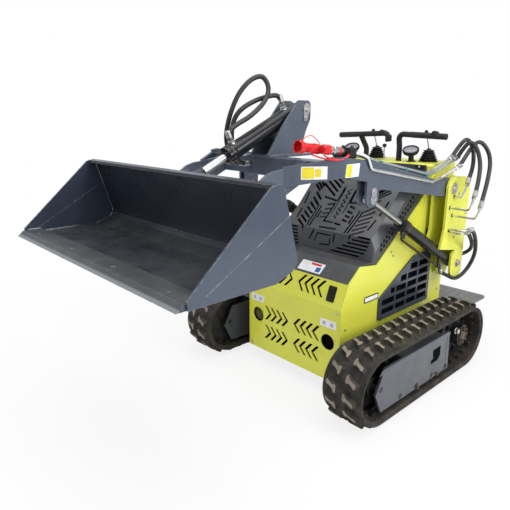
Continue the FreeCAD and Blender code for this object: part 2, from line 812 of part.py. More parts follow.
def make_lift_arm():
    body = new_body("left_lift_arm")
    # the slanted plate that brings the arm in towards the bucket
    add(body, "z", "toe_level + 115", "toe_level + 230",
        [("arm_outer", "-126"), ("toe_outer", "-301"), ("toe_outer - 10", "-294"),
         ("arm_outer - 10", "-119")])
    doc.recompute()
    cut(body, "x", "toe_inner - 20", "arm_outer",
        [("-90", "toe_level + 227"), ("-90", "toe_level + 250"), ("-320", "toe_level + 250"),
         ("-320", "toe_level + 186")],
        [("-90", "toe_level + 158"), ("-320", "toe_level + 118.7"), ("-320", "toe_level + 100"),
         ("-90", "toe_level + 100")])
    cut(body, "z", "toe_level + 100", "toe_level + 240",
        box("toe_outer", "arm_inner", "cross_front", "cross_rear + 20"))
    # rear beam with the lug of the lift cylinder
    add(body, "x", "arm_inner", "arm_outer",
        [("-182", "cross_top + 14"), ("-182", "cross_bottom + 7"), ("-123", "cross_bottom + 11"),
         ("-38", "cross_bottom - 6"), ("lift_eye_back - 41", "lift_eye_height + 68"),
         ("lift_eye_back - 41", "lift_eye_height - 30", "33"),
         ("lift_eye_back + 34", "lift_eye_height - 30", "33"),
         ("lift_eye_back + 36", "lift_eye_height + 33"),
         ("pivot_back - 44", "pivot_height - 35"), ("pivot_back", "pivot_height - 43"),
         ("pivot_back", "pivot_height + 29"), ("pivot_back - 77", "pivot_height + 34"),
         ("knee_back", "knee_height"), ("crest_back", "knee_height + crest_rise")])
    add(body, "x", "arm_inner", "arm_outer", ("circle", "pivot_back", "pivot_height", "arm_boss_radius"))
    doc.recompute()
    # the beam's front corner follows the slanted plate
    cut(body, "z", "cross_bottom - 20", "cross_top + 30",
        [("arm_outer + 0.01", "-126"), ("arm_outer + 20", "-126"), ("arm_outer + 20", "-260"),
         ("toe_outer", "-301.01")])
    # front plate down to the bucket hinge
    add(body, "x", "toe_inner", "toe_outer",
        [("cross_front", "cross_bottom"), ("cross_front", "cross_top - 2"), ("-278", "toe_level + 186"),
         ("-340", "toe_level + 180"), ("-372", "toe_level + 171"), ("-399", "toe_level + 155", "30"),
         ("hinge_back - 35", "hinge_height + 15", "25"), ("hinge_back - 35", "hinge_height - 35", "30"),
         ("hinge_back + 35", "hinge_height - 35", "30"), ("-330", "toe_level + 75", "60")])
    doc.recompute()
    cut(body, "x", "lift_centre - 13", "lift_centre + 13",
        [("-70", "lift_eye_height - 45"), ("140", "lift_eye_height - 45"), ("140", "lift_eye_height + 35"),
         ("60", "lift_eye_height + 90"), ("-70", "lift_eye_height + 90")])
    cut(body, "x", "toe_inner - 1", "arm_outer + 1",
        ("circle", "pivot_back", "pivot_height", "pivot_pin_radius + running_fit"),
        ("circle", "lift_eye_back", "lift_eye_height", "pin_radius + seat_fit"),
        ("circle", "hinge_back", "hinge_height", "pin_radius + running_fit"))
    mirrored(body, "right_lift_arm")


def make_lift_eye_pins():
    """Pin ends in the arm's lug; the space between them is left free for the rod's eye."""
    body = new_body("left_lift_eye_pin")
    add(body, "x", "arm_inner", "lift_centre - 13",
        ("circle", "lift_eye_back", "lift_eye_height", "pin_radius"))
    add(body, "x", "lift_centre + 13", "arm_outer",
        ("circle", "lift_eye_back", "lift_eye_height", "pin_radius"))
    add(body, "x", "arm_outer", "arm_outer + 4",
        [("lift_eye_back - 22", "lift_eye_height - 22", "20"), ("lift_eye_back + 22", "lift_eye_height - 22", "20"),
         ("lift_eye_back + 12", "lift_eye_height + 42", "9"), ("lift_eye_back - 12", "lift_eye_height + 42", "9")])
    mirrored(body, "right_lift_eye_pin")


def make_crossmember():
    body = new_body("crossmember")
    add(body, "x", "-arm_inner", "arm_inner",
        box("cross_front", "cross_rear", "cross_bottom", "cross_top"))


def make_tilt_tower():
    body = new_body("tilt_tower")
    base_top = "cross_top + tower_base"
    outer = "tilt_plate_inner + tilt_plate"
    add(body, "z", "cross_top", base_top, box(f"-({outer} + 14)", f"{outer} + 14", "-200", "35"))
    outline = [("-198", base_top), ("-18", base_top), ("tilt_foot_back - 1", "tilt_foot_height - 89"),
               ("tilt_foot_back + 26", "tilt_foot_height - 40"),
               ("tilt_foot_back + 26", "tilt_foot_height + 30", "20"),
               ("tilt_foot_back - 45", "tilt_foot_height + 30", "20"), ("-122", "1102")]
    add(body, "x", "tilt_plate_inner", outer, outline)
    add(body, "x", f"-({outer})", "-tilt_plate_inner", outline)
    add(body, "x", "-tilt_plate_inner - 1", "tilt_plate_inner + 1",
        box("-40", "-28", base_top, f"{base_top} + 60"))
    doc.recompute()
    cut(body, "x", f"-({outer})", outer,
        ("circle", "tilt_foot_back", "tilt_foot_height", "pin_radius + seat_fit"))
    pin = new_body("tilt_foot_pin")
    add(pin, "x", f"-({outer} + pin_head)", f"{outer} + pin_head",
        ("circle", "tilt_foot_back", "tilt_foot_height", "pin_radius"))
    for low in (f"-({outer} + pin_head)", outer):
        add(pin, "x", low, f"{low} + pin_head", ("circle", "tilt_foot_back", "tilt_foot_height", "pin_radius + 7"))


def make_arm_pipes():
    """Three steel pipes along the left arm, from the couplers to the hoses at the pivot."""
    radius, bend = number("pipe_radius"), number("pipe_bend")
    beside = number("arm_outer + pipe_radius + seat_gap")
    routes = [
        [(300, -53, 1017), (312, 0, 1007), (318, 83, 981.5), (318, 480, 905), (321, 545, 914), (331, 668, 960)],
        [(317, -53, 1017), (333, -5, 1006), (334, 83, 981.5), (334, 476, 902), (336, 535, 906), (345, 688, 955)],
        [(335, -53, 1017), (352, -28, 1011), (beside + 2, -4, 999), (beside, 24, 956), (beside, 473, 873),
         (beside, 540, 884), (379, 640, 922)],
    ]
    new_feature("arm_pipes", Part.Compound([tube(route, radius, bend) for route in routes]))


def make_couplers():
    """Two capped quick couplers on a block bolted to the top of the left arm."""
    body = new_body("hydraulic_couplers")
    axis_up = "coupler_height"
    add(body, "y", "-36", "0", box("272", "350", "seat_gap", "coupler_height * 2 - 4"))
    for across, cap, flange in (("318", "-95", None), ("285", "-140", "-212")):
        add(body, "y", cap, "-35", ("circle", across, axis_up, "12"))
        reach = flange or f"{cap} - 55"
        add(body, "y", reach, f"{cap} + 1", ("circle", across, axis_up, "coupler_height - 1"))
        if flange:
            add(body, "y", f"{flange} - 50", flange, ("circle", across, axis_up, "26"))
    body.setExpression("Placement.Base.y", cell("chassis_front + coupler_back"))
    body.setExpression("Placement.Base.z", cell("knee_height + (knee_back - coupler_back) * crest_rise / (knee_back - crest_back)"))
    body.Placement.Rotation = FreeCAD.Rotation(Vector(-1, 0, 0), 5)
    body.setExpression("Placement.Rotation.Angle", cell("atan2(crest_rise; knee_back - crest_back)"))


# ---------------------------------------------------------------- hoses
# Hydraulic hoses held by their fittings, as points (across, back, up).  Their routes stay as chosen.

TILT_ROUTES = [
    [(0, -337.5, 1062), (0, -349, 1087), (1, -304, 1114), (8, -259, 1134), (13, -216, 1163), (14, -180, 1193),
     (8, -154, 1228), (-4, -148, 1260), (-20, -164, 1288), (-36, -206, 1272), (-50, -247, 1228),
     (-61, -271, 1177), (-76, -284, 1120), (-90, -284, 1062), (-95, -266, 1006), (-96, -230, 962),
     (-96, -180.3, 962)],
    [(0, -75, 1189.5), (-1, -88, 1214), (-5, -114, 1218), (-12, -142, 1212), (-21, -184, 1201),
     (-35, -235, 1177), (-48, -264, 1149), (-57, -278, 1112), (-64, -278, 1060), (-68, -262, 1006),
     (-70, -230, 962), (-70, -180.3, 962)],
]
ARM_ROUTES = [
    [(331.02, 668.3, 960.1), (332.2, 683, 965.6), (340, 702, 994), (350, 722, 1023), (363, 744, 1045),
     (379, 768, 1016), (392, 768, 972), (408, 736, 920), (421.4, 684.6, 882), (418.03, 676.1, 850.3)],
    [(345.02, 688.3, 955.1), (346, 705, 960.4), (366, 714, 1002), (391, 717, 1035), (420, 729, 1008),
     (447, 722, 941), (461, 690, 876), (475.2, 640.4, 821), (473.03, 636.1, 802.3)],
    [(379.05, 640.3, 922.1), (382.6, 659.2, 929.3), (384.5, 700, 964), (390, 730, 1000), (408, 768, 1038),
     (437, 795, 1003), (459, 795, 949), (477, 748, 876), (494.4, 671.4, 785), (492.02, 664.1, 756.3)],
]
LIFT_ROUTE = [(446.02, 684.3, 646), (447.1, 704, 645.6), (447, 742, 622), (443, 778, 577), (434, 808, 530),
              (424, 818, 486), (408, 812, 438), (393, 786, 402), (383, 748, 388), (378, 714, 396),
              (364, 684, 415), (345, 660, 428), (345, 647.3, 453.7)]
BASE_ROUTE = [(430.42, 690.3, 630), (431.3, 708, 629.3), (427, 752, 598), (414, 808, 556), (394, 850, 522),
              (368, 870, 496), (345, 852, 480), (345, 815.3, 480)]


def make_hoses():
    radius = number("hose_radius")
    new_feature("tilt_hoses", Part.Compound([tube(route, radius) for route in TILT_ROUTES]))
    new_feature("arm_hoses", Part.Compound([tube(route, radius) for route in ARM_ROUTES]))
    new_feature("left_lift_hose", tube(LIFT_ROUTE, radius))
    mirrored(doc.getObject("left_lift_hose"), "right_lift_hose")


def make_tower_pipes():
    """Steel pipes that come out of the left tower, and on both towers those of the lift cylinder."""
    radius, bend = number("small_pipe_radius"), 18
    face = number("tower_outer + seat_gap")
    upper = [
        [(face, 668, 789), (405, 668, 789), (415, 668.5, 822), (418, 676, 850)],
        [(face, 635, 743), (458, 635, 743), (470, 630, 775), (473, 636, 802)],
        [(face, 663, 704), (476, 663, 704), (490, 658, 732), (492, 664, 756)],
    ]
    new_feature("tower_pipes", Part.Compound([tube(route, radius, bend) for route in upper]))
    lower = [
        tube([(face, 639, 645), (428, 639, 645), (444, 656, 646.5), (446, 684, 646)], radius, bend),
        tube([(face, 655, 628), (414, 655, 628), (429, 665, 631), (430.4, 690, 630)], radius, bend),
        tube(BASE_ROUTE, number("hose_radius")),
    ]
    new_feature("left_lift_lines", Part.Compound(lower))
    mirrored(doc.getObject("left_lift_lines"), "right_lift_lines")


# ---------------------------------------------------------------- cylinders

def aim(body, back, up, to_back, to_up):
    """Turns a body drawn along -Y so that it points from its foot to its eye."""
    drop = f"({to_up}) - ({up})"
    run = f"({back}) - ({to_back})"
    rising = number(drop) > 0
    sign = "" if rising else "-"
    axis = Vector(-1, 0, 0) if rising else Vector(1, 0, 0)
    body.setExpression("Placement.Base.y", cell(f"chassis_front + {back}"))
    body.setExpression("Placement.Base.z", cell(up))
    body.Placement.Rotation = FreeCAD.Rotation(axis, 10)
    body.setExpression("Placement.Rotation.Angle", cell(f"atan2({sign}({drop}); {run})"))


def make_cylinder(name, centre, foot, eye, size, ports=()):
    """A hydraulic cylinder: the barrel with its foot eye and ports, and the rod with its own eye."""
    barrel_radius, barrel_length, rod_radius, rod_length, eye_half, eye_radius = size
    reach = f"sqrt(pow({foot[0]} - ({eye[0]}); 2) + pow({foot[1]} - ({eye[1]}); 2))"
    barrel = new_body(f"{name}_barrel")
    add(barrel, "x", f"{centre} - {eye_half}", f"{centre} + {eye_half}", ("circle", "0", "0", eye_radius))
    add(barrel, "y", f"-({barrel_length})", "-18", ("circle", centre, "0", barrel_radius))
    add(barrel, "y", f"-({barrel_length})", f"-({barrel_length} - gland_length)",
        ("circle", centre, "0", f"{barrel_radius} + 1"))
    for place in ports:
        add(barrel, "z", f"{barrel_radius} - 6", "port_top", ("circle", centre, f"-({place})", "fitting_radius"))
    doc.recompute()
    cut(barrel, "y", f"-({barrel_length})", "-45", ("circle", centre, "0", f"{rod_radius} + bore_gap"))
    cut(barrel, "x", f"{centre} - {eye_half}", f"{centre} + {eye_half}",
        ("circle", "0", "0", "pin_radius + running_fit"))
    aim(barrel, foot[0], foot[1], eye[0], eye[1])
    rod = new_body(f"{name}_rod")
    add(rod, "y", f"-({reach} - {eye_radius} + 6)", f"-({reach} - {rod_length})",
        ("circle", centre, "0", rod_radius))
    add(rod, "x", f"{centre} - {eye_half}", f"{centre} + {eye_half}",
        ("circle", f"-({reach})", "0", eye_radius))
    doc.recompute()
    cut(rod, "x", f"{centre} - {eye_half}", f"{centre} + {eye_half}",
        ("circle", f"-({reach})", "0", "pin_radius + running_fit"))
    aim(rod, foot[0], foot[1], eye[0], eye[1])
    return barrel, rod


def make_cylinders():
    lift = ("lift_barrel_radius", "lift_barrel_length", "lift_rod_radius", "lift_rod_length",
            "lift_eye_half", "lift_eye_radius")
    barrel, rod = make_cylinder("left_lift", "lift_centre", ("lift_foot_back", "lift_foot_height"),
                                ("lift_eye_back", "lift_eye_height"), lift)
    mirrored(barrel, "right_lift_barrel")
    mirrored(rod, "right_lift_rod")
    tilt = ("tilt_barrel_radius", "tilt_barrel_length", "tilt_rod_radius", "tilt_rod_length",
            "tilt_eye_half", "tilt_eye_radius")
    make_cylinder("tilt", "0", ("tilt_foot_back", "tilt_foot_height"),
                  ("tilt_eye_back", "tilt_eye_height"), tilt, ("rear_port", "front_port"))


# ---------------------------------------------------------------- bucket

def bucket_outside():
    """The outside of the bucket's bottom and back, from the cutting edge to the rim."""
    return [("edge_rear - 4", "bucket_bottom"), ("-622", "bucket_bottom"), ("-560", "bucket_bottom + 23"),
            ("-543", "bucket_bottom + 40"), ("-544", "bucket_bottom + 60"), ("-597", "bucket_back_top")]


def bucket_inside():
    return [("-603", "bucket_back_top"), ("-550", "bucket_bottom + 61"), ("-549", "bucket_bottom + 43"),
            ("-564", "bucket_bottom + 28.5"), ("-623", "bucket_bottom + bucket_wall"),
            ("edge_rear - 4", "bucket_bottom + bucket_wall")]


def make_bucket():
    shell = new_body("bucket_shell")
    inner = "bucket_half - bucket_wall"
    add(shell, "x", f"-({inner}) - 1", f"{inner} + 1", bucket_outside() + bucket_inside())
    side = [("edge_rear - 40", "bucket_bottom"), ("edge_rear - 43", "bucket_bottom + 24"),
            ("rim_front", "rim_top - 6"), ("rim_front + 32", "rim_top")] + bucket_outside()[::-1][:-1]
    for low, high in ((inner, "bucket_half"), ("-bucket_half", f"-({inner})")):
        add(shell, "x", low, high, side)
    add(shell, "x", f"-({inner}) - 1", f"{inner} + 1",
        [("rim_front + 6", "rim_top - 12"), ("rim_front + 6", "rim_top - 2"), ("rim_front + 44", "rim_top - 2"),
         ("-597", "bucket_back_top - 1"), ("-603", "bucket_back_top - 1"), ("-606", "rim_top - 12")])
    edge = new_body("cutting_edge")
    front_bevel = "lip_back + 22"
    half = "bucket_half - bucket_wall"
    add(edge, "x", f"-({half})", half,
        [("lip_back", "bucket_bottom"), ("edge_rear - 4.3", "bucket_bottom"),
         ("edge_rear - 4.3", "bucket_bottom + bucket_wall + 0.3"), ("edge_rear + 20", "bucket_bottom + bucket_wall + 0.3"),
         ("edge_rear + 20", "bucket_bottom + bucket_wall + edge_thickness"),
         (front_bevel, "bucket_bottom + bucket_wall + edge_thickness")])
    doc.recompute()
    cut(edge, "z", "bucket_bottom", "bucket_bottom + 30",
        *[("circle", f"{i} * edge_hole_pitch", "lip_back + 45", "edge_hole_radius")
          for i in (-1.5, -0.5, 0.5, 1.5)])


def bucket_back(height):
    """Where the bucket's leaning back plate is at a height."""
    return f"(-544 - ({height} - bucket_bottom - 60) * 53 / (bucket_back_top - bucket_bottom - 60))"


def both_sides(sign, near, far):
    """The two levels of a plate on the left side, or of its twin on the right."""
    return (near, far) if sign > 0 else (f"-({far})", f"-({near})")


def make_quick_attach():
    body = new_body("quick_attach_plate")
    low, high = "bucket_bottom + 46", "attach_top"
    add(body, "x", "-attach_half", "attach_half",
        [(bucket_back(low) + " + seat_gap", low), (bucket_back(low) + " + attach_plate", low),
         (bucket_back(high) + " + attach_plate", high), (bucket_back(high) + " + seat_gap", high)])
    root = "attach_plate / 2"
    hinge_ear = [(f"{bucket_back(low)} + {root}", low + " + 1"),
                 ("hinge_back + 30", "hinge_height - 30", "24"), ("hinge_back + 30", "hinge_height + 30", "24"),
                 (f"{bucket_back('hinge_height + 80')} + {root}", "hinge_height + 80")]
    tilt_ear = [(f"{bucket_back('tilt_eye_height - 90')} + {root}", "tilt_eye_height - 90"),
                ("tilt_eye_back + 28", "tilt_eye_height - 28", "24"),
                ("tilt_eye_back + 28", "tilt_eye_height + 28", "24"),
                ("tilt_eye_back - 28", "tilt_eye_height + 28", "24"),
                (f"{bucket_back('tilt_eye_height - 8')} + {root}", "tilt_eye_height - 8")]
    inside = ("toe_inner - lug_clear - lug_plate", "toe_inner - lug_clear")
    outside = ("toe_outer + lug_clear", "toe_outer + lug_clear + lug_plate")
    middle = ("tilt_eye_half + lug_clear", "tilt_eye_half + lug_clear + lug_plate")
    for sign in (1, -1):
        for pair, ear in ((inside, hinge_ear), (outside, hinge_ear), (middle, tilt_ear)):
            add(body, "x", *both_sides(sign, *pair), ear)
    doc.recompute()
    cut(body, "x", f"-({outside[1]})", outside[1],
        ("circle", "hinge_back", "hinge_height", "pin_radius + seat_fit"),
        ("circle", "tilt_eye_back", "tilt_eye_height", "pin_radius + seat_fit"))
    pins = new_body("bucket_hinge_pins")
    ends = new_body("tilt_eye_pins")
    for sign in (1, -1):
        add(pins, "x", *both_sides(sign, inside[0], outside[1] + " + pin_head"),
            ("circle", "hinge_back", "hinge_height", "pin_radius"))
        add(ends, "x", *both_sides(sign, middle[0], middle[1] + " + pin_head"),
            ("circle", "tilt_eye_back", "tilt_eye_height", "pin_radius"))


# ---------------------------------------------------------------- build and write

make_front_panel()
make_nose_panel()
make_hood()
make_side_panel()
make_grille()
make_belly_and_rear()
make_engine()
make_tower()
make_chassis_pins()
make_console()
make_hand_grips()
make_controls()
make_platform()
make_tracks()
make_track_frame()
make_frame_beams()
make_wheels()
make_lift_arm()
make_lift_eye_pins()
make_crossmember()
make_tilt_tower()
make_arm_pipes()
make_couplers()
make_hoses()
make_tower_pipes()
make_cylinders()
make_bucket()
make_quick_attach()
doc.recompute()

faults = [f"{o.Name}: {o.State}" for o in doc.Objects if {"Invalid", "Error"} & set(o.State)]
for node in NODES:
    if node.Shape.isNull() or not node.Shape.isValid() or not node.Shape.Solids:
        faults.append(f"{node.Label}: no valid solid")
if faults:
    raise RuntimeError("; ".join(faults))

os.makedirs("parts", exist_ok=True)
for node in NODES:
    node.Shape.exportStep(f"parts/{node.Label}.step")
    print(f"{node.Label:24s} solids {len(node.Shape.Solids)}  volume {node.Shape.Volume / 1e6:9.3f} dm3")
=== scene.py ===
import math

import bmesh
import bpy
from mathutils import Matrix, Vector, noise


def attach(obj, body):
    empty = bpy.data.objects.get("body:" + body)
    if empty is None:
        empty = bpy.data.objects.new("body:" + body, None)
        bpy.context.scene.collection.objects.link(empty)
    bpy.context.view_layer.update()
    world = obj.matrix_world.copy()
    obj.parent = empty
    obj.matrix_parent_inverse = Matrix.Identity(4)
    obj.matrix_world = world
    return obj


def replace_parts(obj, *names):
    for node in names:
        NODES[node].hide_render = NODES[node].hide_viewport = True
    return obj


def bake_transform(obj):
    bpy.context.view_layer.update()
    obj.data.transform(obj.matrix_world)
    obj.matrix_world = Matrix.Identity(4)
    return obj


# Looks of a mini track loader.  Places are in millimetres as (across, back, up): across is positive on the
# machine's left, back counts rearwards from the front of the chassis, and up from the ground.

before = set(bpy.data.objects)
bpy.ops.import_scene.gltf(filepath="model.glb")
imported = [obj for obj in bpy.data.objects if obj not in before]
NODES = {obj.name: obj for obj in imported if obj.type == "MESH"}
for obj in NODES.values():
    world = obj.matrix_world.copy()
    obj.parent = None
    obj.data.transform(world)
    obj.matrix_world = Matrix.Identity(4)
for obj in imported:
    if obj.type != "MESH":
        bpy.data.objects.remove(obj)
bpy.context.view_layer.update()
MM = 0.001
CHASSIS_FRONT = -81.0
SIDES = (("left", 1), ("right", -1))
LEFT, BACK, UP = Vector((1, 0, 0)), Vector((0, 1, 0)), Vector((0, 0, 1))


def at(across, back, up):
    """The point, in metres, of a place in millimetres."""
    return Vector((across, back + CHASSIS_FRONT, up)) * MM


def place_of(point):
    """The place in millimetres of a point in metres."""
    spot = point / MM
    return spot.x, spot.y - CHASSIS_FRONT, spot.z


def aim(name, data, point, ahead):
    """A camera or lamp at a point, looking along a direction."""
    made = bpy.data.objects.new(name, data)
    made.location = point
    made.rotation_euler = Vector(ahead).to_track_quat("-Z", "Y").to_euler()
    bpy.context.scene.collection.objects.link(made)
    return made


# ---- camera

CAMERA_POINT = (1.4104, -1.5983, 1.1415)
CAMERA_AZIMUTH, CAMERA_TILT = math.radians(47.31), math.radians(15.54)
CAMERA_LENS = 35.29


def make_camera():
    """A camera at the photograph's viewing angle."""
    data = bpy.data.cameras.new("camera")
    data.lens, data.sensor_width, data.clip_end = CAMERA_LENS, 36, 60
    level = math.cos(CAMERA_TILT)
    ahead = (-math.sin(CAMERA_AZIMUTH) * level, math.cos(CAMERA_AZIMUTH) * level, -math.sin(CAMERA_TILT))
    bpy.context.scene.camera = aim("camera", data, CAMERA_POINT, ahead)


# ---- materials

MIX_FACTOR, MIX_FIRST, MIX_SECOND, MIX_COLOUR = 0, 6, 7, 2


def feed(node, inputs):
    """Gives each input of a node, by name or number, a value or a socket to link."""
    for key, value in inputs.items():
        if isinstance(value, bpy.types.NodeSocket):
            node.id_data.links.new(value, node.inputs[key])
        else:
            node.inputs[key].default_value = value


def add_node(tree, kind, inputs=None, **settings):
    node = tree.nodes.new("ShaderNode" + kind)
    for key, value in settings.items():
        setattr(node, key, value)
    feed(node, inputs or {})
    return node


def material(name, **inputs):
    """A new material whose Principled shader has these inputs set, and its node tree."""
    made = bpy.data.materials.new(name)
    made.use_nodes = True
    feed(made.node_tree.nodes["Principled BSDF"], {key.replace("_", " "): inputs[key] for key in inputs})
    return made, made.node_tree


def position(tree):
    """Where a point is, in the frame's own coordinates."""
    return add_node(tree, "TexCoord").outputs["Object"]


def noise_of(tree, scale, detail=4.0, stretch=(1, 1, 1)):
    """A noise texture in the frame's own coordinates."""
    place = add_node(tree, "Mapping", {"Vector": position(tree), "Scale": stretch}).outputs["Vector"]
    return add_node(tree, "TexNoise", {"Scale": scale, "Detail": detail, "Vector": place}).outputs["Fac"]


def spread(value, low, high, from_low=0.35, from_high=0.65):
    """The value mapped on to a range, clamped."""
    ends = {"From Min": from_low, "From Max": from_high, "To Min": low, "To Max": high}
    return add_node(value.id_data, "MapRange", {"Value": value, **ends}).outputs["Result"]


def mixed(factor, *colours):
    """Two colours mixed; each is a colour or a socket."""
    first, second = [c if isinstance(c, bpy.types.NodeSocket) else (*c, 1) for c in colours]
    inputs = {MIX_FACTOR: factor, MIX_FIRST: first, MIX_SECOND: second}
    return add_node(factor.id_data, "Mix", inputs, data_type="RGBA").outputs[MIX_COLOUR]


def combined(first, second, operation="MULTIPLY"):
    inputs = {0: first, 1: second}
    return add_node(second.id_data, "Math", inputs, operation=operation, use_clamp=True).outputs[0]


def dot(first, second):
    inputs = {0: first, 1: second}
    return add_node(first.id_data, "VectorMath", inputs, operation="DOT_PRODUCT").outputs["Value"]


def part_along(vector, axis):
    return add_node(vector.id_data, "SeparateXYZ", {0: vector}).outputs[axis]


def facing(tree):
    return add_node(tree, "NewGeometry").outputs["Normal"]


def bevelled(tree, radius):
    """The normal with sharp edges rounded by a radius in metres."""
    return add_node(tree, "Bevel", {"Radius": radius}, samples=4).outputs["Normal"]


def bumped(surface, height, strength, distance, edge):
    """Bump from a height; edge rounds the look of sharp edges by that radius in metres."""
    inputs = {"Strength": strength, "Distance": distance, "Height": height}
    if edge:
        inputs["Normal"] = bevelled(surface.id_data, edge)
    feed(surface, {"Normal": add_node(surface.id_data, "Bump", inputs).outputs["Normal"]})


def worn_edges(tree, width):
    """1 on outer edges that get rubbed, 0 elsewhere."""
    edge = spread(dot(bevelled(tree, width), facing(tree)), 1, 0, 0.88, 0.98)
    return combined(edge, spread(noise_of(tree, 55), 0, 1, 0.42, 0.62))


def dust_on_top(tree, amount):
    """Dust that settles on faces turned upwards."""
    up = spread(part_along(facing(tree), "Z"), 0, amount, 0.3, 1)
    return combined(up, spread(noise_of(tree, 9, 6), 0.2, 1, 0.35, 0.7))


def along_axis(tree, axis, start, end, low=0.0, high=1.0):
    """A value that goes from low to high between two places along an axis of the frame."""
    return spread(part_along(position(tree), axis), low, high, start, end)


def between_sides(tree, half, shade):
    """The shade between two planes that stand at half either side of the middle, 0 outside them."""
    left = along_axis(tree, "X", half, half + 0.0004, shade, 0)
    return combined(left, along_axis(tree, "X", -half - 0.0004, -half, 0, 1))


def score_line(tree, half, back, height, slope, reach):
    """A thin broken line that rises rearwards across the plates outside the two planes at half."""
    rise = dot(position(tree), (0, -math.sin(slope), math.cos(slope)))
    level = height * math.cos(slope) - back * math.sin(slope)
    line = combined(spread(rise, 0, 1, level - 0.0016, level - 0.0008),
                    spread(rise, 1, 0, level + 0.0008, level + 0.0016))
    sides = combined(1.0, between_sides(tree, half, 1.0), "SUBTRACT")
    span = combined(along_axis(tree, "Y", back - 0.001, back),
                    along_axis(tree, "Y", back + reach, back + reach + 0.001, 1, 0))
    broken = spread(noise_of(tree, 60, 3), 0.05, 0.5, 0.42, 0.62)
    return combined(combined(line, sides), combined(span, broken))


def mottled(tree, colour, scale, detail, dark, light):
    """A colour that varies in patches between a darker and a lighter shade of itself."""
    tone = spread(noise_of(tree, scale, detail), 0, 1)
    return mixed(tone, [c * dark for c in colour], [min(1, c * light) for c in colour])


def dress(made, body, rough, patches, height, strength, distance, edge=0.0):
    """Gives a material its colour, a roughness that varies in patches between two levels, and bump."""
    surface = made.node_tree.nodes["Principled BSDF"]
    feed(surface, {"Base Color": body, "Roughness": spread(noise_of(made.node_tree, *patches), *rough)})
    bumped(surface, height, strength, distance, edge)
    return made


def paint(name, colour, rough, wear, dust, flake=0.0, coat=0.25, marks=0.0, painted_inner_shade=None, zone=None, line=None,
          peel=0.09):
    """Sprayed metal: faint mottling, orange peel, edges rubbed to a wear colour and a little dust, with
    painted shade between two side planes where asked.
    """
    made, tree = material(name, Metallic=flake, Coat_Weight=coat, Coat_Roughness=0.16)
    body = mottled(tree, colour, 4.5, 6, 0.96, 1.03)
    if zone:
        body = mixed(along_axis(tree, *zone[:3]), body, zone[3])
    # Painted shade: between the two side planes, on the faces inside the bucket, the colour is darkened
    # towards a quarter of itself.
    if painted_inner_shade:
        body = mixed(between_sides(tree, *painted_inner_shade), body, [c * 0.25 for c in colour])
    body = mixed(dust_on_top(tree, dust), body, (0.36, 0.34, 0.31))
    if marks:
        streaks = spread(noise_of(tree, 22, 3, (0.35, 1.6, 1.6)), 0, marks, 0.52, 0.72)
        body = mixed(streaks, body, [c * 1.9 + 0.015 for c in colour])
    if line:
        body = mixed(score_line(tree, *line), body, (0.55, 0.57, 0.62))
    body = mixed(worn_edges(tree, 0.0018), body, wear)
    grains = noise_of(tree, 420, 2)
    return dress(made, body, (rough * 0.85, rough * 1.3), (14, 5), grains, peel, 0.0006, 0.0012)


def metal(name, colour, rough, grain=900, strength=0.04, stain=0.12, edge=0.0, mottle=40):
    """Bare or plated metal: stains and roughness vary in patches of one scale, with a fine grain."""
    made, tree = material(name, Metallic=1.0)
    body = mixed(spread(noise_of(tree, mottle, 5), 0, stain), colour, (0.16, 0.15, 0.14))
    grains = noise_of(tree, grain, 2)
    return dress(made, body, (rough * 0.8, rough * 1.35), (mottle * 1.5,), grains, strength, 0.0004, edge)


def rubber(name, colour, rough, grain=500, strength=0.3, dust=0.0, dust_colour=(0.17, 0.145, 0.115)):
    made, tree = material(name, Specular_IOR_Level=0.35)
    body = mottled(tree, colour, 18, 6, 0.75, 1.25)
    if dust:
        body = mixed(spread(noise_of(tree, 26, 8), 0, dust, 0.38, 0.66), body, dust_colour)
        body = mixed(dust_on_top(tree, dust * 0.7), body, dust_colour)
    grains = noise_of(tree, grain, 4)
    return dress(made, body, (rough * 0.85, min(1, rough * 1.2)), (40,), grains, strength, 0.001, 0.0015)


def braided(name, colour):
    """Hose cover with the fine pattern of its wrapped layers."""
    made, tree = material(name, Specular_IOR_Level=0.5)
    inputs = {"Scale": 170, "Distortion": 1.5, "Vector": position(tree)}
    wraps = add_node(tree, "TexWave", inputs, bands_direction="DIAGONAL").outputs["Fac"]
    return dress(made, mottled(tree, colour, 30, 4, 0.8, 1.4), (0.34, 0.5), (70,), wraps, 0.16, 0.0008)


def plastic(name, colour, rough, grain=700, strength=0.15, dust=0.06):
    made, tree = material(name)
    body = mixed(dust_on_top(tree, dust), mottled(tree, colour, 12, 4, 0.88, 1.1), (0.4, 0.38, 0.35))
    grains = noise_of(tree, grain, 2)
    return dress(made, body, (rough * 0.85, rough * 1.2), (30,), grains, strength, 0.0005, 0.0008)


# Each is a name, a colour and a roughness; paints also have the colour of their rubbed edges and their dust.
LIME = paint("lime_paint", (0.76, 0.77, 0.075), 0.30, (0.62, 0.64, 0.42), 0.05)
SLATE = paint("slate_paint", (0.060, 0.073, 0.098), 0.33, (0.22, 0.24, 0.27), 0.16, flake=0.25)
ARM_SLATE = paint("arm_paint", (0.098, 0.117, 0.155), 0.28, (0.34, 0.36, 0.40), 0.10, flake=0.25)
# The bucket's faces between its cheeks get painted shade.
BUCKET = paint("bucket_paint", (0.058, 0.074, 0.110), 0.28, (0.45, 0.47, 0.50), 0.17, flake=0.25, peel=0.02,
               painted_inner_shade=(0.5182, 0.9), line=(0.5185, -0.936, 0.735, 0.505, 0.275))
HOOD = paint("hood_paint", (0.055, 0.058, 0.063), 0.40, (0.16, 0.17, 0.18), 0.22, flake=0.2)
TRACK_PLATE = paint("track_frame_paint", (0.062, 0.067, 0.078), 0.40, (0.22, 0.23, 0.25), 0.2)
GLOSS_BLACK = paint("gloss_black_paint", (0.012, 0.012, 0.014), 0.14, (0.05, 0.05, 0.05), 0.0, coat=0.1)
SATIN_BLACK = paint("satin_black_paint", (0.014, 0.014, 0.014), 0.22, (0.07, 0.07, 0.07), 0.01, coat=0.05)
CHROME = metal("chrome", (0.44, 0.45, 0.46), 0.12, stain=0.03, strength=0.0, mottle=5)
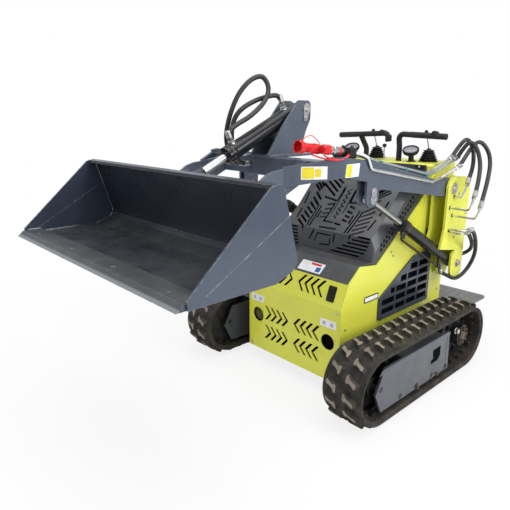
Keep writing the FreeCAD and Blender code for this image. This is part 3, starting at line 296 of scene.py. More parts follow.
PIPE = metal("pipe_plate", (0.74, 0.77, 0.75), 0.26, strength=0.0, stain=0.06, mottle=6)
ZINC = metal("zinc_plate", (0.66, 0.66, 0.64), 0.28, strength=0.02, mottle=12)
STEEL = metal("worn_steel", (0.42, 0.42, 0.43), 0.38, grain=300, strength=0.25, stain=0.4)
EDGE = paint("edge_paint", (0.062, 0.068, 0.077), 0.34, (0.55, 0.55, 0.56), 0.16, flake=0.4, marks=0.1,
             zone=("Y", -1.008, -1.012, (0.26, 0.27, 0.28)))
RUSTY = metal("dull_bolts", (0.16, 0.12, 0.08), 0.5, grain=300, strength=0.2, stain=0.4)
CAST = metal("cast_metal", (0.055, 0.055, 0.058), 0.55, grain=350, strength=0.4, stain=0.3, edge=0.001)
WELD = metal("weld_bead", (0.30, 0.31, 0.34), 0.34, grain=260, strength=0.5, stain=0.3)
TREAD = rubber("tread_rubber", (0.024, 0.020, 0.017), 0.72, dust=0.30, strength=0.45)
TREAD_TOP = rubber("tread_top", (0.22, 0.185, 0.145), 0.8, grain=260, strength=0.5, dust=0.5,
                   dust_colour=(0.34, 0.29, 0.22))
BELT = rubber("belt_rubber", (0.018, 0.016, 0.014), 0.68, dust=0.20)
GRIP = rubber("grip_rubber", (0.016, 0.016, 0.017), 0.45)
BOOT = rubber("boot_rubber", (0.012, 0.012, 0.013), 0.38, strength=0.1)
HOSE = braided("hose_cover", (0.016, 0.016, 0.018))
RED = plastic("red_plastic", (0.72, 0.012, 0.016), 0.30)
BLACK = plastic("black_plastic", (0.012, 0.012, 0.013), 0.35, dust=0.02)
BLUE = plastic("blue_film", (0.03, 0.13, 0.42), 0.3, strength=0.03)
TEAL = plastic("teal_plastic", (0.02, 0.20, 0.19), 0.4)
DIAL = plastic("dial_face", (0.33, 0.34, 0.35), 0.2, grain=160, strength=0.5)
WHITE = plastic("white_film", (0.93, 0.93, 0.93), 0.25, strength=0.03, dust=0.1)
YELLOW = plastic("yellow_film", (0.84, 0.70, 0.04), 0.28, strength=0.03)
GREY = plastic("grey_film", (0.50, 0.48, 0.55), 0.3, strength=0.03)
HORN = plastic("horn_cover", (0.085, 0.085, 0.018), 0.5, dust=0.02)
DECK = paint("deck_paint", (0.14, 0.145, 0.15), 0.5, (0.35, 0.35, 0.36), 0.3)
# A near-black for sheets that stand for painted shade in openings, gaps and behind slots.
SHADE_BLACK = rubber("painted_shade_black", (0.004, 0.004, 0.0045), 0.9, strength=0.1)
for dull, level in ((SHADE_BLACK, 0.03), (BLACK, 0.3), (SATIN_BLACK, 0.28), (GLOSS_BLACK, 0.4)):
    dull.node_tree.nodes["Principled BSDF"].inputs["Specular IOR Level"].default_value = level

# The CAD nodes in each material; a name that starts with a line stands for the left and the right one.
FINISHES = {
    LIME: ("front_panel", "_side_panel", "rear_panel", "_tower", "control_console"),
    SLATE: ("_grille", "frame_beams", "belly_plate", "quick_attach_plate"),
    HOOD: ("hood", "nose_panel"),
    TRACK_PLATE: ("_track_frame",),
    ARM_SLATE: ("_lift_arm", "crossmember", "tilt_tower"),
    BUCKET: ("bucket_shell",),
    EDGE: ("cutting_edge",),
    CAST: ("engine_block", "_idler", "_sprocket", "_rollers"),
    ZINC: ("_pivot_pin", "_lift_foot_pin", "_lift_eye_pin", "tilt_foot_pin", "bucket_hinge_pins",
           "tilt_eye_pins"),
    PIPE: ("arm_pipes", "tower_pipes"),
    GLOSS_BLACK: ("tilt_barrel",),
    SATIN_BLACK: ("_lift_barrel",),
    CHROME: ("_lift_rod", "tilt_rod"),
    GRIP: ("hand_grips",),
    BLACK: ("controls",),
    DECK: ("operator_platform",),
}
for finish, names in FINISHES.items():
    for title in names:
        for node_name in ("left" + title, "right" + title) if title[0] == "_" else (title,):
            NODES[node_name].data.materials.clear()
            NODES[node_name].data.materials.append(finish)

# The record's slots, and the materials looked up for each where a piece names none; no piece is given one
# here.
SLOTS = {finish: slot for slot, finishes in {
    "track_rubber": (TREAD, TREAD_TOP, BELT), "hose_rubber": (HOSE,), "grip_rubber": (GRIP,),
    "pin_steel": (ZINC, RUSTY, STEEL), "lime_paint": (LIME,), "grey_paint": (SLATE, DECK),
    "black_paint": (GLOSS_BLACK, SATIN_BLACK), "red_plastic": (RED,),
    "dark_plastic": (BLACK, BOOT, DIAL, SHADE_BLACK, HORN, HOOD, TEAL)}.items() for finish in finishes}


# ---- mesh helpers

def new_object(name, mesh, material, body="chassis"):
    """An object made of a bmesh or mesh, riding on a body of the frame if one is given."""
    data = mesh
    if isinstance(mesh, bmesh.types.BMesh):
        bmesh.ops.recalc_face_normals(mesh, faces=mesh.faces)
        data = bpy.data.meshes.new(name)
        mesh.to_mesh(data)
        mesh.free()
    data.materials.append(material)
    made = bpy.data.objects.new(name, data)
    bpy.context.scene.collection.objects.link(made)
    if body:
        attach(made, body)
    return made


def piece(name, mesh, material, smooth=None, body="chassis", slot=None):
    """An object, with faces smoothed that meet at less than an angle in degrees; its slot is looked up but
    not given to it.
    """
    made = new_object(name, mesh, material, body)
    if smooth:
        for face in made.data.polygons:
            face.use_smooth = True
        made.data.set_sharp_from_angle(angle=math.radians(smooth))
    slot = slot or SLOTS.get(material)
    return made


def join_rings(mesh, low, high):
    """A band of faces between two rings of vertices."""
    for i, corner in enumerate(low):
        after = (i + 1) % len(low)
        mesh.faces.new((corner, low[after], high[after], high[i]))


def loft(mesh, rings):
    """Joins rings of points, each as long as the next, and closes both ends."""
    rows = [[mesh.verts.new(p) for p in ring] for ring in rings]
    for low, high in zip(rows, rows[1:]):
        join_rings(mesh, low, high)
    mesh.faces.new(rows[0][::-1])
    mesh.faces.new(rows[-1])


def frame_of(direction, turn=0.0):
    """A direction's unit vector and two more square to it, turned about it."""
    along = Vector(direction).normalized()
    side = along.orthogonal().normalized()
    side.rotate(Matrix.Rotation(turn, 3, along))
    return along, side, along.cross(side)


def around(centre, side, up, spots):
    """Points round a centre, from their angles and radii."""
    return [centre + (side * math.cos(a) + up * math.sin(a)) * radius * MM for a, radius in spots]


def turned(mesh, start, direction, profile, segments=32, turn=0.0):
    """A turned shape: profile lists (distance along the direction, radius) in millimetres."""
    along, side, up = frame_of(direction, turn)
    angles = [2 * math.pi * i / segments for i in range(segments)]
    loft(mesh, [around(start + along * distance * MM, side, up, [(a, radius) for a in angles])
                for distance, radius in profile])


def ribs(count, start, pitch, rib, taper=0):
    """A profile's repeated ribs, from the (distance, radius) points of one."""
    return [(start + i * pitch + d, radius + i * taper) for i in range(count) for d, radius in rib]


def hex_bolt(mesh, start, direction, across, washer=True):
    """A washer and a hexagonal head with chamfered corners, of a size across its flats."""
    radius = across / math.sqrt(3)
    rim, head = radius * 1.25, across * 0.5
    if washer:
        turned(mesh, start, direction, [(-0.5, rim), (1, rim), (1.6, radius * 1.18)], 24)
    turned(mesh, start, direction, [(0, radius), (head, radius), (across * 0.62, radius * 0.84)], 6, 0.3)
    disc, dip = (across * 0.64, radius * 0.8), (across * 0.66, radius * 0.45)
    turned(mesh, start, direction, [(across * 0.55, radius * 0.8), disc, dip], 20)


def bolt_all(mesh, points, direction, across, washer=True):
    for point in points:
        hex_bolt(mesh, point, direction, across, washer)


def corners(low, high, bottom, top):
    """The corners of a flat rectangle."""
    return [(low, bottom), (high, bottom), (high, top), (low, top)]


def wall(across, spots):
    """Points of a plane that faces sideways, from their (back, up)."""
    return [at(across, back, up) for back, up in spots]


def upright(back, area):
    """Corners of a rectangle (low, high, bottom, top) that faces along the machine."""
    return [at(across, back, up) for across, up in corners(*area)]


def on_plane(start, right, up, area, lift=0.0):
    """Corners of a rectangle (low, high, bottom, top) in a plane, raised off it by a lift in millimetres."""
    return [start + (right * x + up * y + right.cross(up) * lift) * MM for x, y in corners(*area)]


def plate(mesh, outline, normal, thickness, bevel=0.0):
    """A flat plate on an outline of points, with a chamfered outer edge; sizes in millimetres."""
    rise = Vector(normal).normalized() * thickness * MM
    rings = [outline, [p + rise * (0.5 if bevel else 1) for p in outline]]
    if bevel:
        middle = sum(outline, Vector()) / len(outline)
        rings.append([p + (middle - p).normalized() * bevel * MM + rise for p in outline])
    loft(mesh, rings)


def slab(*sizes):
    """A mesh of one plate."""
    mesh = bmesh.new()
    plate(mesh, *sizes)
    return mesh


def rounded(outline, radius, steps=5):
    """The points of a flat outline with its corners replaced by arcs."""
    result = []
    for i, corner in enumerate(outline):
        back, ahead = outline[i - 1] - corner, outline[(i + 1) % len(outline)] - corner
        reach = min(radius * MM / math.tan(back.angle(ahead) / 2), back.length * 0.45, ahead.length * 0.45)
        first, last = corner + back.normalized() * reach, corner + ahead.normalized() * reach
        for t in (step / steps for step in range(steps + 1)):
            result.append(first * (1 - t) ** 2 + corner * 2 * t * (1 - t) + last * t ** 2)
    return result


TUBE_SIDES, TUBE_STEPS = 7, 14


def spline_mesh(name, points, radius):
    """A tube along a smooth line that has these points as its control points."""
    curve = bpy.data.curves.new(name, "CURVE")
    curve.dimensions = "3D"
    curve.bevel_depth = radius * MM
    curve.bevel_resolution = TUBE_SIDES
    curve.use_fill_caps = True
    curve.resolution_u = TUBE_STEPS
    spline = curve.splines.new("NURBS")
    spline.points.add(len(points) - 1)
    for point, place in zip(spline.points, points):
        point.co = (*at(*place), 1)
    spline.order_u = 3
    spline.use_endpoint_u = True
    holder = bpy.data.objects.new(name + "_line", curve)
    mesh = bpy.data.meshes.new_from_object(holder)
    mesh.name = name
    bpy.data.objects.remove(holder)
    bpy.data.curves.remove(curve)
    return mesh


def hose(name, points, body="chassis", radius=9, blend=None, material=HOSE):
    """A hose or pipe; blend names the other body that it would bend towards, and where that starts and ends,
    but a blend only makes the hose ride no body, its shape baked in place.
    """
    made = piece(name, spline_mesh(name, points, radius), material, 60, None if blend else body)
    if blend:
        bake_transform(made)
    return made


NUT_HALF, SLEEVE_LENGTH = 8.5, 30


def ferrule(mesh, tip, inward):
    """Nut and crimped sleeve of a hose end: its tip is on the pipe, and inward runs along the hose."""
    turned(mesh, tip, -inward, [(0, 8.2), (4, 8.2), (4, 7)], 24)
    nut = [(-9, NUT_HALF * 1.1), (-8, NUT_HALF * 1.155), (3, NUT_HALF * 1.155), (4, NUT_HALF)]
    turned(mesh, tip, inward, nut, 6)
    crimps = ribs(4, 6, (SLEEVE_LENGTH - 8) / 4, ((0, 10.6), (3.5, 10.6), (4.2, 10.1), (4.8, 10.1)))
    sleeve = [(4, 8.5)] + crimps + [(SLEEVE_LENGTH, 10.4), (SLEEVE_LENGTH + 1, 9.2)]
    turned(mesh, tip, inward, sleeve, 24)


# ---- tracks

IDLER_BACK, SPROCKET_BACK = -50.0, 643.0
TRACK_HEIGHT, LUG_HEIGHT, BELT_THICKNESS = 320.0, 19.0, 20.0
AXLE_HEIGHT = TRACK_HEIGHT / 2
BELT_RADIUS = AXLE_HEIGHT - LUG_HEIGHT
TRACK_INNER, TRACK_OUTER = 345.0, 525.0
LUG_COUNT = 36
STRAIGHT = SPROCKET_BACK - IDLER_BACK
HALF_TURN = math.pi * BELT_RADIUS
LOOP = 2 * STRAIGHT + 2 * HALF_TURN
PITCH = LOOP / LUG_COUNT


def track_place(across, distance, proud):
    """A point of the track, proud of its belt, at a distance along its loop."""
    distance = distance % LOOP
    reach = BELT_RADIUS + proud
    if distance < STRAIGHT:
        return at(across, IDLER_BACK + distance, AXLE_HEIGHT - reach)
    distance -= STRAIGHT
    if distance < HALF_TURN:
        angle = distance / BELT_RADIUS - math.pi / 2
        return at(across, SPROCKET_BACK + reach * math.cos(angle), AXLE_HEIGHT + reach * math.sin(angle))
    distance -= HALF_TURN
    if distance < STRAIGHT:
        return at(across, SPROCKET_BACK - distance, AXLE_HEIGHT + reach)
    angle = math.pi / 2 + (distance - STRAIGHT) / BELT_RADIUS
    return at(across, IDLER_BACK + reach * math.cos(angle), AXLE_HEIGHT + reach * math.sin(angle))


# A lug's outline as (out from the middle of the track, along the track), about its own middle.
LUG = [(17, -4), (18, -11), (24, -14), (28, -8), (34, -5.5), (48, -5.5), (55, -7), (62, -5), (62, 5), (55, 7),
       (48, 5.5), (34, 5.5), (28, 8), (24, 14), (18, 11), (17, 4)]
LUG_MIDDLE, LUG_OUTER = 40, 88
LUG_SLANT = 0.42


def lug_ring(side, row, start, height, grow):
    """The outline of a tread lug at a height above the belt, grown outwards by an amount."""
    centre = (TRACK_INNER + TRACK_OUTER) / 2
    ring = []
    for u, s in LUG:
        off = u - LUG_MIDDLE
        out = u + (grow if off > 0 else -grow) * min(1, abs(off) / 20)
        along = start + s + LUG_SLANT * side * row * off + math.copysign(grow, s)
        ring.append(track_place(side * (centre + row * min(out, LUG_OUTER)), along, height))
    return ring


def make_track(name, side):
    lugs, tops, guides, belt = (bmesh.new() for _ in range(4))
    pads = ((-1, 7), (2, 4.5), (9, 2.2), (LUG_HEIGHT - 1.2, 0.8))
    worn = ((LUG_HEIGHT - 2, 0.8), (LUG_HEIGHT - 0.8, 0.6), (LUG_HEIGHT - 0.1, -0.6))
    for i in range(LUG_COUNT):
        for row, start in ((-1, i * PITCH), (1, (i + 0.5) * PITCH)):
            for mesh, levels in ((lugs, pads), (tops, worn)):
                loft(mesh, [lug_ring(side, row, start, height, grow) for height, grow in levels])
        for low, high in ((383, 397), (474, 488)):
            loft(guides, [[track_place(side * x, i * PITCH + s, height)
                           for x, s in corners(low, high, -half, half)]
                          for height, half in ((-19, 13), (-30, 11), (-36, 6))])
    piece(f"{name}_track_lugs", lugs, TREAD, 50)
    piece(f"{name}_track_lug_tops", tops, TREAD_TOP)
    piece(f"{name}_track_guides", guides, BELT)
    edge = [(0, 0), (-1.5, -3), (-1.5, -9), (4, -12), (4, 3 - BELT_THICKNESS), (7, -BELT_THICKNESS)]
    low, high = side * (TRACK_INNER + 2), side * (TRACK_OUTER - 2)
    section = [(low, 0)] + [(high - side * inset, proud) for inset, proud in edge]
    section += [(low + side * inset, proud) for inset, proud in edge[:0:-1]]
    rows = [[belt.verts.new(track_place(x, j * PITCH / 4, proud)) for x, proud in section]
            for j in range(LUG_COUNT * 4)]
    for here, there in zip(rows, rows[1:] + rows[:1]):
        join_rings(belt, here, there)
    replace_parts(piece(f"{name}_track_belt", belt, BELT, 30), f"{name}_track")


# ---- hood

HOOD_LINE = [(197, 542), (216, 643), (310, 723), (410, 833), (470, 880), (600, 880)]


def hood_height(back):
    """Height of the hood's slotted face at a distance back."""
    for (b0, h0), (b1, h1) in zip(HOOD_LINE, HOOD_LINE[1:]):
        if back <= b1:
            return h0 + (h1 - h0) * (back - b0) / (b1 - b0)
    return HOOD_LINE[-1][1]


def strips(path, width):
    """The four corners of each straight stretch of a slot along a path of a plane."""
    for a, b in zip(path, path[1:]):
        a, b = Vector(a), Vector(b)
        run = b - a
        side = Vector((-run.y, run.x)).normalized() * width / 2
        ends = run.normalized() * width * 0.2
        yield [a - ends + side, b + ends + side, b + ends - side, a - ends - side]


def top_slot(mesh, path, width=9.5):
    """A slot in the sloping face, as a path of (across, back), cut straight down."""
    for outline in strips(path, width):
        loft(mesh, [[at(c.x, c.y, hood_height(c.y) + rise) for c in outline] for rise in (-26, 16)])


def front_slot(mesh, path, width=8.5):
    """A slot in the steep front face, as a path of (across, up), cut straight back."""
    for outline in strips(path, width):
        loft(mesh, [[at(c.x, back, c.y) for c in outline] for back in (180, 236)])


def cut_top_slots(mesh):
    paths = [[(133, 216 + 20.5 * i), (190 - i, 243 + 20.5 * i)] for i in range(7)]
    paths += [[(102, 222), (110, 318)], [(118, 222), (126, 318)], [(120, 352), (37, 343), (34, 398)]]
    narrow = [[(168 - 18 * i, 404 + 11 * i), (66 - 3 * i, 360 + 17 * i)] for i in range(4)]
    outer = [[(166 - 4 * i, 372 + 9 * i), (214 - 4 * i, 396 + 12 * i)] for i in range(3)]
    outer += [[(204, 250), (212, 294)], [(216, 316), (226, 364)]]
    outer += [[(48, 274 + 19 * i), (78, 268 + 19 * i)] for i in range(4)] + [[(92, 262), (92, 298)]]
    for side in (1, -1):
        for group, width in ((paths, 9.5), (narrow, 9), (outer, 9.5)):
            for path in group:
                top_slot(mesh, [(side * across, back) for across, back in path], width)
    top_slot(mesh, [(-42, 335), (-43, 255), (8, 255)])
    top_slot(mesh, [(20, 254), (56, 250)])
    top_slot(mesh, [(-27, 390), (-29, 290)], 6)
    top_slot(mesh, [(29, 390), (29, 300)], 6)
    for back in (284 + 16.5 * i for i in range(7)):
        top_slot(mesh, [(13, back + 10), (-9, back), (13, back - 10)], 5.5)
    top_slot(mesh, [(-46, 227), (48, 230)])


def cut_front_slots(mesh):
    for i, (low, high) in enumerate(((50, 200), (78, 224), (106, 230), (130, 236), (152, 240), (180, 241))):
        front_slot(mesh, [(low, 562 + 16 * i), (high, 562 + 16 * i)])
    for i in range(6):
        front_slot(mesh, [(-176 - 5.5 * i, 558 + 15 * i), (-147 - 4.5 * i, 558 + 15 * i)])
    front_slot(mesh, [(-86, 590), (-66, 634)])
    front_slot(mesh, [(-56, 584), (-42, 624), (34, 624)], 6.5)
    front_slot(mesh, [(34, 612), (34, 582), (-20, 578)], 6.5)
    front_slot(mesh, [(54, 634), (54, 600)])


def cut_side_holes(mesh):
    """Hexagonal holes in the bands along the hood's sides."""
    start, end = Vector((262, 598)), Vector((520, 798))
    radius, pitch = 9, 24
    along = (end - start).normalized()
    out = Vector((along.y, -along.x))
    for _, side in SIDES:
        for row in range(2):
            for i in range(int((end - start).length // pitch)):
                middle = start + along * (i + 0.5 * row) * pitch - out * (row * 19 - 5)
                ring = [middle + Vector((math.cos(a), math.sin(a))) * radius
                        for a in (math.pi / 3 * k for k in range(6))]
                loft(mesh, [wall(side * across, ring) for across in (256, 272)])


def make_hood_cuts():
    cutter = bmesh.new()
    cut_top_slots(cutter)
    cut_front_slots(cutter)
    cut_side_holes(cutter)
    made = new_object("hood_cutter", cutter, SHADE_BLACK, None)
    made.hide_render = True
    made.hide_viewport = True
    hood = NODES["hood"]
    for face in hood.data.polygons:
        face.use_smooth = False
    weld = hood.modifiers.new("weld", "WELD")
    weld.merge_threshold = 1e-5
    cut = hood.modifiers.new("slots", "BOOLEAN")
    cut.operation = "DIFFERENCE"
    cut.solver = "EXACT"
    cut.use_self = True
    cut.object = made


# ---- hoses and pipes

TILT_ROUTES = [
    [(0, -337.5, 1062), (0, -349, 1087), (1, -304, 1114), (8, -259, 1134), (13, -216, 1163), (14, -180, 1193),
     (8, -154, 1228), (-4, -148, 1260), (-20, -164, 1288), (-36, -206, 1272), (-50, -247, 1228),
     (-61, -271, 1177), (-76, -284, 1120), (-90, -284, 1062), (-95, -266, 1006), (-96, -230, 962),
     (-96, -180.3, 962)],
    [(0, -75, 1189.5), (-1, -88, 1214), (-5, -114, 1218), (-12, -142, 1212), (-21, -184, 1201),
     (-35, -235, 1177), (-48, -264, 1149), (-57, -278, 1112), (-64, -278, 1060), (-68, -262, 1006),
     (-70, -230, 962), (-70, -180.3, 962)],
]
ARM_ROUTES = [
    [(331.02, 668.3, 960.1), (332.2, 683, 965.6), (340, 702, 994), (350, 722, 1023), (363, 744, 1045),
     (379, 768, 1016), (392, 768, 972), (408, 736, 920), (421.4, 684.6, 882), (418.03, 676.1, 850.3)],
    [(345.02, 688.3, 955.1), (346, 705, 960.4), (366, 714, 1002), (391, 717, 1035), (420, 729, 1008),
     (447, 722, 941), (461, 690, 876), (475.2, 640.4, 821), (473.03, 636.1, 802.3)],
    [(379.05, 640.3, 922.1), (382.6, 659.2, 929.3), (384.5, 700, 964), (390, 730, 1000), (408, 768, 1038),
     (437, 795, 1003), (459, 795, 949), (477, 748, 876), (494.4, 671.4, 785), (492.02, 664.1, 756.3)],
]
LIFT_ROUTE = [(446.02, 684.3, 646), (447.1, 704, 645.6), (447, 742, 622), (443, 778, 577), (434, 808, 530),
              (424, 818, 486), (408, 812, 438), (393, 786, 402), (383, 748, 388), (378, 714, 396),
              (364, 684, 415), (345, 660, 428), (345, 647.3, 453.7)]
BASE_ROUTE = [(430.42, 690.3, 630), (431.3, 708, 629.3), (427, 752, 598), (414, 808, 556), (394, 850, 522),
              (368, 870, 496), (345, 852, 480), (345, 815.3, 480)]
FOOT_PIPES = [
    [(370.3, 639, 645), (428, 639, 645), (444, 656, 646.5), (446, 684, 646)],
    [(370.3, 655, 628), (414, 655, 628), (429, 665, 631), (430.4, 690, 630)],
]


def mirrored(route, side):
    return [(side * across, back, up) for across, back, up in route]


def end_fittings(name, routes, body, end):
    """Ferrules at one end of hoses: end is the number of that point, 0 or -1."""
    mesh = bmesh.new()
    for route in routes:
        tip = at(*route[end])
        ferrule(mesh, tip, (at(*route[-2 if end else 1]) - tip).normalized())
    piece(name, mesh, ZINC, 30, body)


def blend_along(route, other, direction):
    """A hose's blend to the other body, spread between its ends along a direction."""
    lean = Vector(direction).normalized()
    first = at(*route[0])
    reach = (at(*route[-1]) - first).dot(lean)
    return other, first + lean * 0.002, first + lean * (reach - 0.002)


def make_hoses():
    leans = ((0.74, -0.54, -0.41), (0.54, -0.60, -0.59), (0.85, -0.18, -0.50))
    for i, (route, lean) in enumerate(zip(ARM_ROUTES, leans), 1):
        made = hose(f"arm_hose_{i}", route, "lift_arms", blend=blend_along(route, "chassis", lean))
        if i == 1:
            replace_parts(made, "arm_hoses")
    end_fittings("arm_hose_ends", ARM_ROUTES, "lift_arms", 0)
    end_fittings("tower_hose_ends", ARM_ROUTES, "chassis", -1)
    for i, route in enumerate(TILT_ROUTES, 1):
        made = hose(f"tilt_hose_{i}", route, "tilt_barrel",
                    blend=("lift_arms", (-0.004, 0, 0), ((route[-1][0] + 4) * MM, 0, 0)))
        if i == 1:
            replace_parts(made, "tilt_hoses")
    end_fittings("tilt_hose_ends", TILT_ROUTES, "tilt_barrel", 0)
    end_fittings("crossmember_hose_ends", TILT_ROUTES, "lift_arms", -1)
    for name, side in SIDES:
        barrel = f"{name}_lift_barrel"
        lift, base = mirrored(LIFT_ROUTE, side), mirrored(BASE_ROUTE, side)
        made = hose(f"{name}_rod_side_hose", lift, blend=blend_along(lift, barrel, (-0.77 * side, -0.64, 0)))
        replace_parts(made, f"{name}_lift_hose")
        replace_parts(hose(f"{name}_base_side_hose", base), f"{name}_lift_lines")
        for i, route in enumerate(FOOT_PIPES, 1):
            hose(f"{name}_foot_pipe_{i}", mirrored(route, side), radius=5, material=ZINC)
        end_fittings(f"{name}_foot_hose_ends", [lift, base], "chassis", 0)
        end_fittings(f"{name}_barrel_hose_end", [lift], barrel, -1)


# ---- couplers

COUPLER_SLOPE = math.atan2(19, 159)
PETALS = 9


def on_arm(across, along, up):
    """A point from the place of the coupler block, which follows the arm's top edge."""
    back = -60 + along * math.cos(COUPLER_SLOPE) + up * math.sin(COUPLER_SLOPE)
    return at(across, back, 997.8 - along * math.sin(COUPLER_SLOPE) + up * math.cos(COUPLER_SLOPE))


def make_couplers():
    forward = (on_arm(0, -1, 0) - on_arm(0, 0, 0)).normalized()
    block = bmesh.new()
    plate(block, rounded([on_arm(x, 0, y) for x, y in corners(272, 350, 0.4, 36)], 6), forward, 36, 1.5)
    bolt_all(block, [on_arm(x, -18, 35.5) for x in (302, 340)], on_arm(0, 0, 1) - on_arm(0, 0, 0), 11)
    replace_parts(piece("coupler_block", block, BLACK, None, "lift_arms"), "hydraulic_couplers")

    steel = bmesh.new()
    near, far = on_arm(318, -35, 20), on_arm(285, -35, 20)
    body = [(-1, 10), (0, 11), (14, 11), (15, 13.5), (30, 13.5), (31, 12), (34, 12), (36, 14.5), (58, 14.5),
            (60, 13), (62, 13), (63, 14.5), (76, 14.5), (78, 13), (86, 13)]
    turned(steel, near, forward, body, 40)
    body = [(-1, 11), (0, 12), (30, 12), (31, 14), (54, 14), (56, 12.5), (60, 12.5), (61, 15), (96, 15),
            (98, 13.5), (108, 13.5)]
    turned(steel, far, forward, body, 40)
    piece("coupler_bodies", steel, ZINC, 35, "lift_arms")

    caps = bmesh.new()
    grooves = ribs(4, 86, 6, ((0, 16.6), (4, 16.6), (4.8, 15.6), (5.4, 15.6)))
    cap = [(80, 13.5), (81, 17), (85, 17)] + grooves + [(111, 16), (114, 14), (115, 9)]
    turned(caps, near, forward, cap, 40)
    turned(caps, near, forward, [(24, 13), (25, 14.6), (31, 14.6), (32, 12)], 40)
    turned(caps, far, forward, [(96, 14), (98, 17.5), (120, 17.5), (122, 15)], 40)
    turned(caps, far, forward, [(118, 15), (121, 17.6), (150, 17.6), (152, 15)], 6, 0.25)
    along, side, up = frame_of(forward)
    wedge = ((-0.36, 0), (0.36, 0), (0.3, -3), (-0.3, -3))
    for i in range(PETALS):
        spin = math.pi * 2 * i / PETALS
        petal = [(154 + 3 * (i % 2), 14), (168, 16.5), (178 + 5 * (i % 3), 21 + i % 2), (200, 22.4 - i % 3)]
        loft(caps, [around(far + along * distance * MM, side, up,
                           [(spin + a, radius + r) for a, r in wedge]) for distance, radius in petal])
    turned(caps, far, forward, [(148, 12), (152, 14.5), (172, 16.6), (186, 19), (188, 15), (178, 10)], 40)
    piece("coupler_caps", caps, RED, 30, "lift_arms")

    ties = (
        ("near", 2.6, [(318, -138, 2), (322, -132, -4), (333, -96, -10), (344, -70, -6), (350, -52, 4),
                       (345, -38, 12)]),
        ("far", 2.6, [(289, -168, 1), (300, -160, -5), (318, -128, -11), (336, -92, -13), (352, -70, -7),
                      (352, -44, 8)]),
        ("top", 1.3, [(286, -222, 40), (292, -208, 54), (300, -192, 62), (306, -178, 54), (314, -158, 37)]))
    for name, radius, places in ties:
        points = [place_of(on_arm(*place)) for place in places]
        hose(f"cap_tie_{name}", points, "lift_arms", radius, material=RED)


# ---- cylinders

def along_line(foot, eye, across):
    """What gives a cylinder's points from a distance along it and a rise off it, and those directions."""
    run = Vector((eye[0] - foot[0], eye[1] - foot[1])).normalized()
    out = Vector((run.y, -run.x))
    if out.y < 0:
        out = -out

    def place(distance, rise, x=across):
        return at(x, foot[0] + run.x * distance + out.x * rise, foot[1] + run.y * distance + out.y * rise)
    return place, place(1, 0) - place(0, 0), place(0, 1) - place(0, 0)


def make_tilt_trim():
    tilt, ahead, rise = along_line((10, 1170), (-505, 935), 0)
    gland = bmesh.new()
    nose = [(0, 30), (1, 31.6), (4, 33.2), (24, 33.2), (26, 31.8), (30, 31.8), (31, 33.2), (38.5, 33.2),
            (40, 31), (40, 17)]
    turned(gland, tilt(366, 0), ahead, nose, 48)
    turned(gland, tilt(24, 0), ahead, [(0, 24), (3, 31.8), (12, 32.6), (16, 31.2)], 48)
    piece("tilt_gland", gland, GLOSS_BLACK, 40, "tilt_barrel")
    ports = bmesh.new()
    socket = [(0, 15), (3, 14.5), (4, 11.8), (9, 11.8), (10, 9), (19, 9)]
    for distance in (361, 69):
        turned(ports, tilt(distance, 28), rise, socket, 24)
        turned(ports, tilt(distance, 34), rise, [(0, 12), (7, 12), (8, 11)], 6)
    piece("tilt_ports", ports, ZINC, 30, "tilt_barrel")
    collar = bmesh.new()
    turned(collar, tilt(518, 0), ahead, [(0, 15.4), (2, 17), (14, 19), (28, 19)], 40)
    piece("tilt_rod_collar", collar, GLOSS_BLACK, 40, "tilt_rod")


def make_lift_trim(name, side):
    """Gland, supply tube with its brackets, and ports of a lift cylinder."""
    body = f"{name}_lift_barrel"
    lift, ahead, rise = along_line((764, 460), (52, 845), side * 331)
    trim = bmesh.new()
    nose = [(-8, 24), (-6, 28), (-3, 29.2), (28, 29.2), (30, 27.4), (38, 27.4), (39.5, 25), (39.5, 14)]
    turned(trim, lift(486, 0), ahead, nose, 48)
    turned(trim, lift(20, 0), ahead, [(0, 20), (3, 26), (10, 26.4), (13, 25.2)], 48)
    for distance, reach in ((128, -54), (500, -52)):
        bracket = ((-9, -22, 338), (9, -22, 338), (9, reach, 341), (-9, reach, 341))
        outline = [lift(distance + along, out, side * across) for along, out, across in bracket]
        plate(trim, outline, LEFT * side, 8, 1)
    turned(trim, lift(128, -61, side * 345), ahead, [(-9, 6.5), (-8, 8.5), (8, 8.5), (9, 6.5)], 24)
    piece(f"{name}_lift_gland", trim, SATIN_BLACK, 40, body)
    tube = [(distance, -61, 345) for distance in (99.8, 160, 300, 440, 494)]
    tube += [(507, -60, 344), (508, -44, 340), (508, -26, 335)]
    points = [place_of(lift(distance, drop, side * x)) for distance, drop, x in tube]
    hose(f"{name}_supply_tube", points, body, radius=5, material=SATIN_BLACK)
    ports = bmesh.new()
    turned(ports, lift(508, -40, side * 339), rise, [(0, 8), (1, 9.2), (12, 9.2), (14, 7)], 6)
    turned(ports, lift(86, -61, side * 345), ahead, [(12, 6), (13, 9.6), (30, 9.6), (31, 7)], 6)
    piece(f"{name}_lift_ports", ports, SATIN_BLACK, 30, body)


# ---- controls

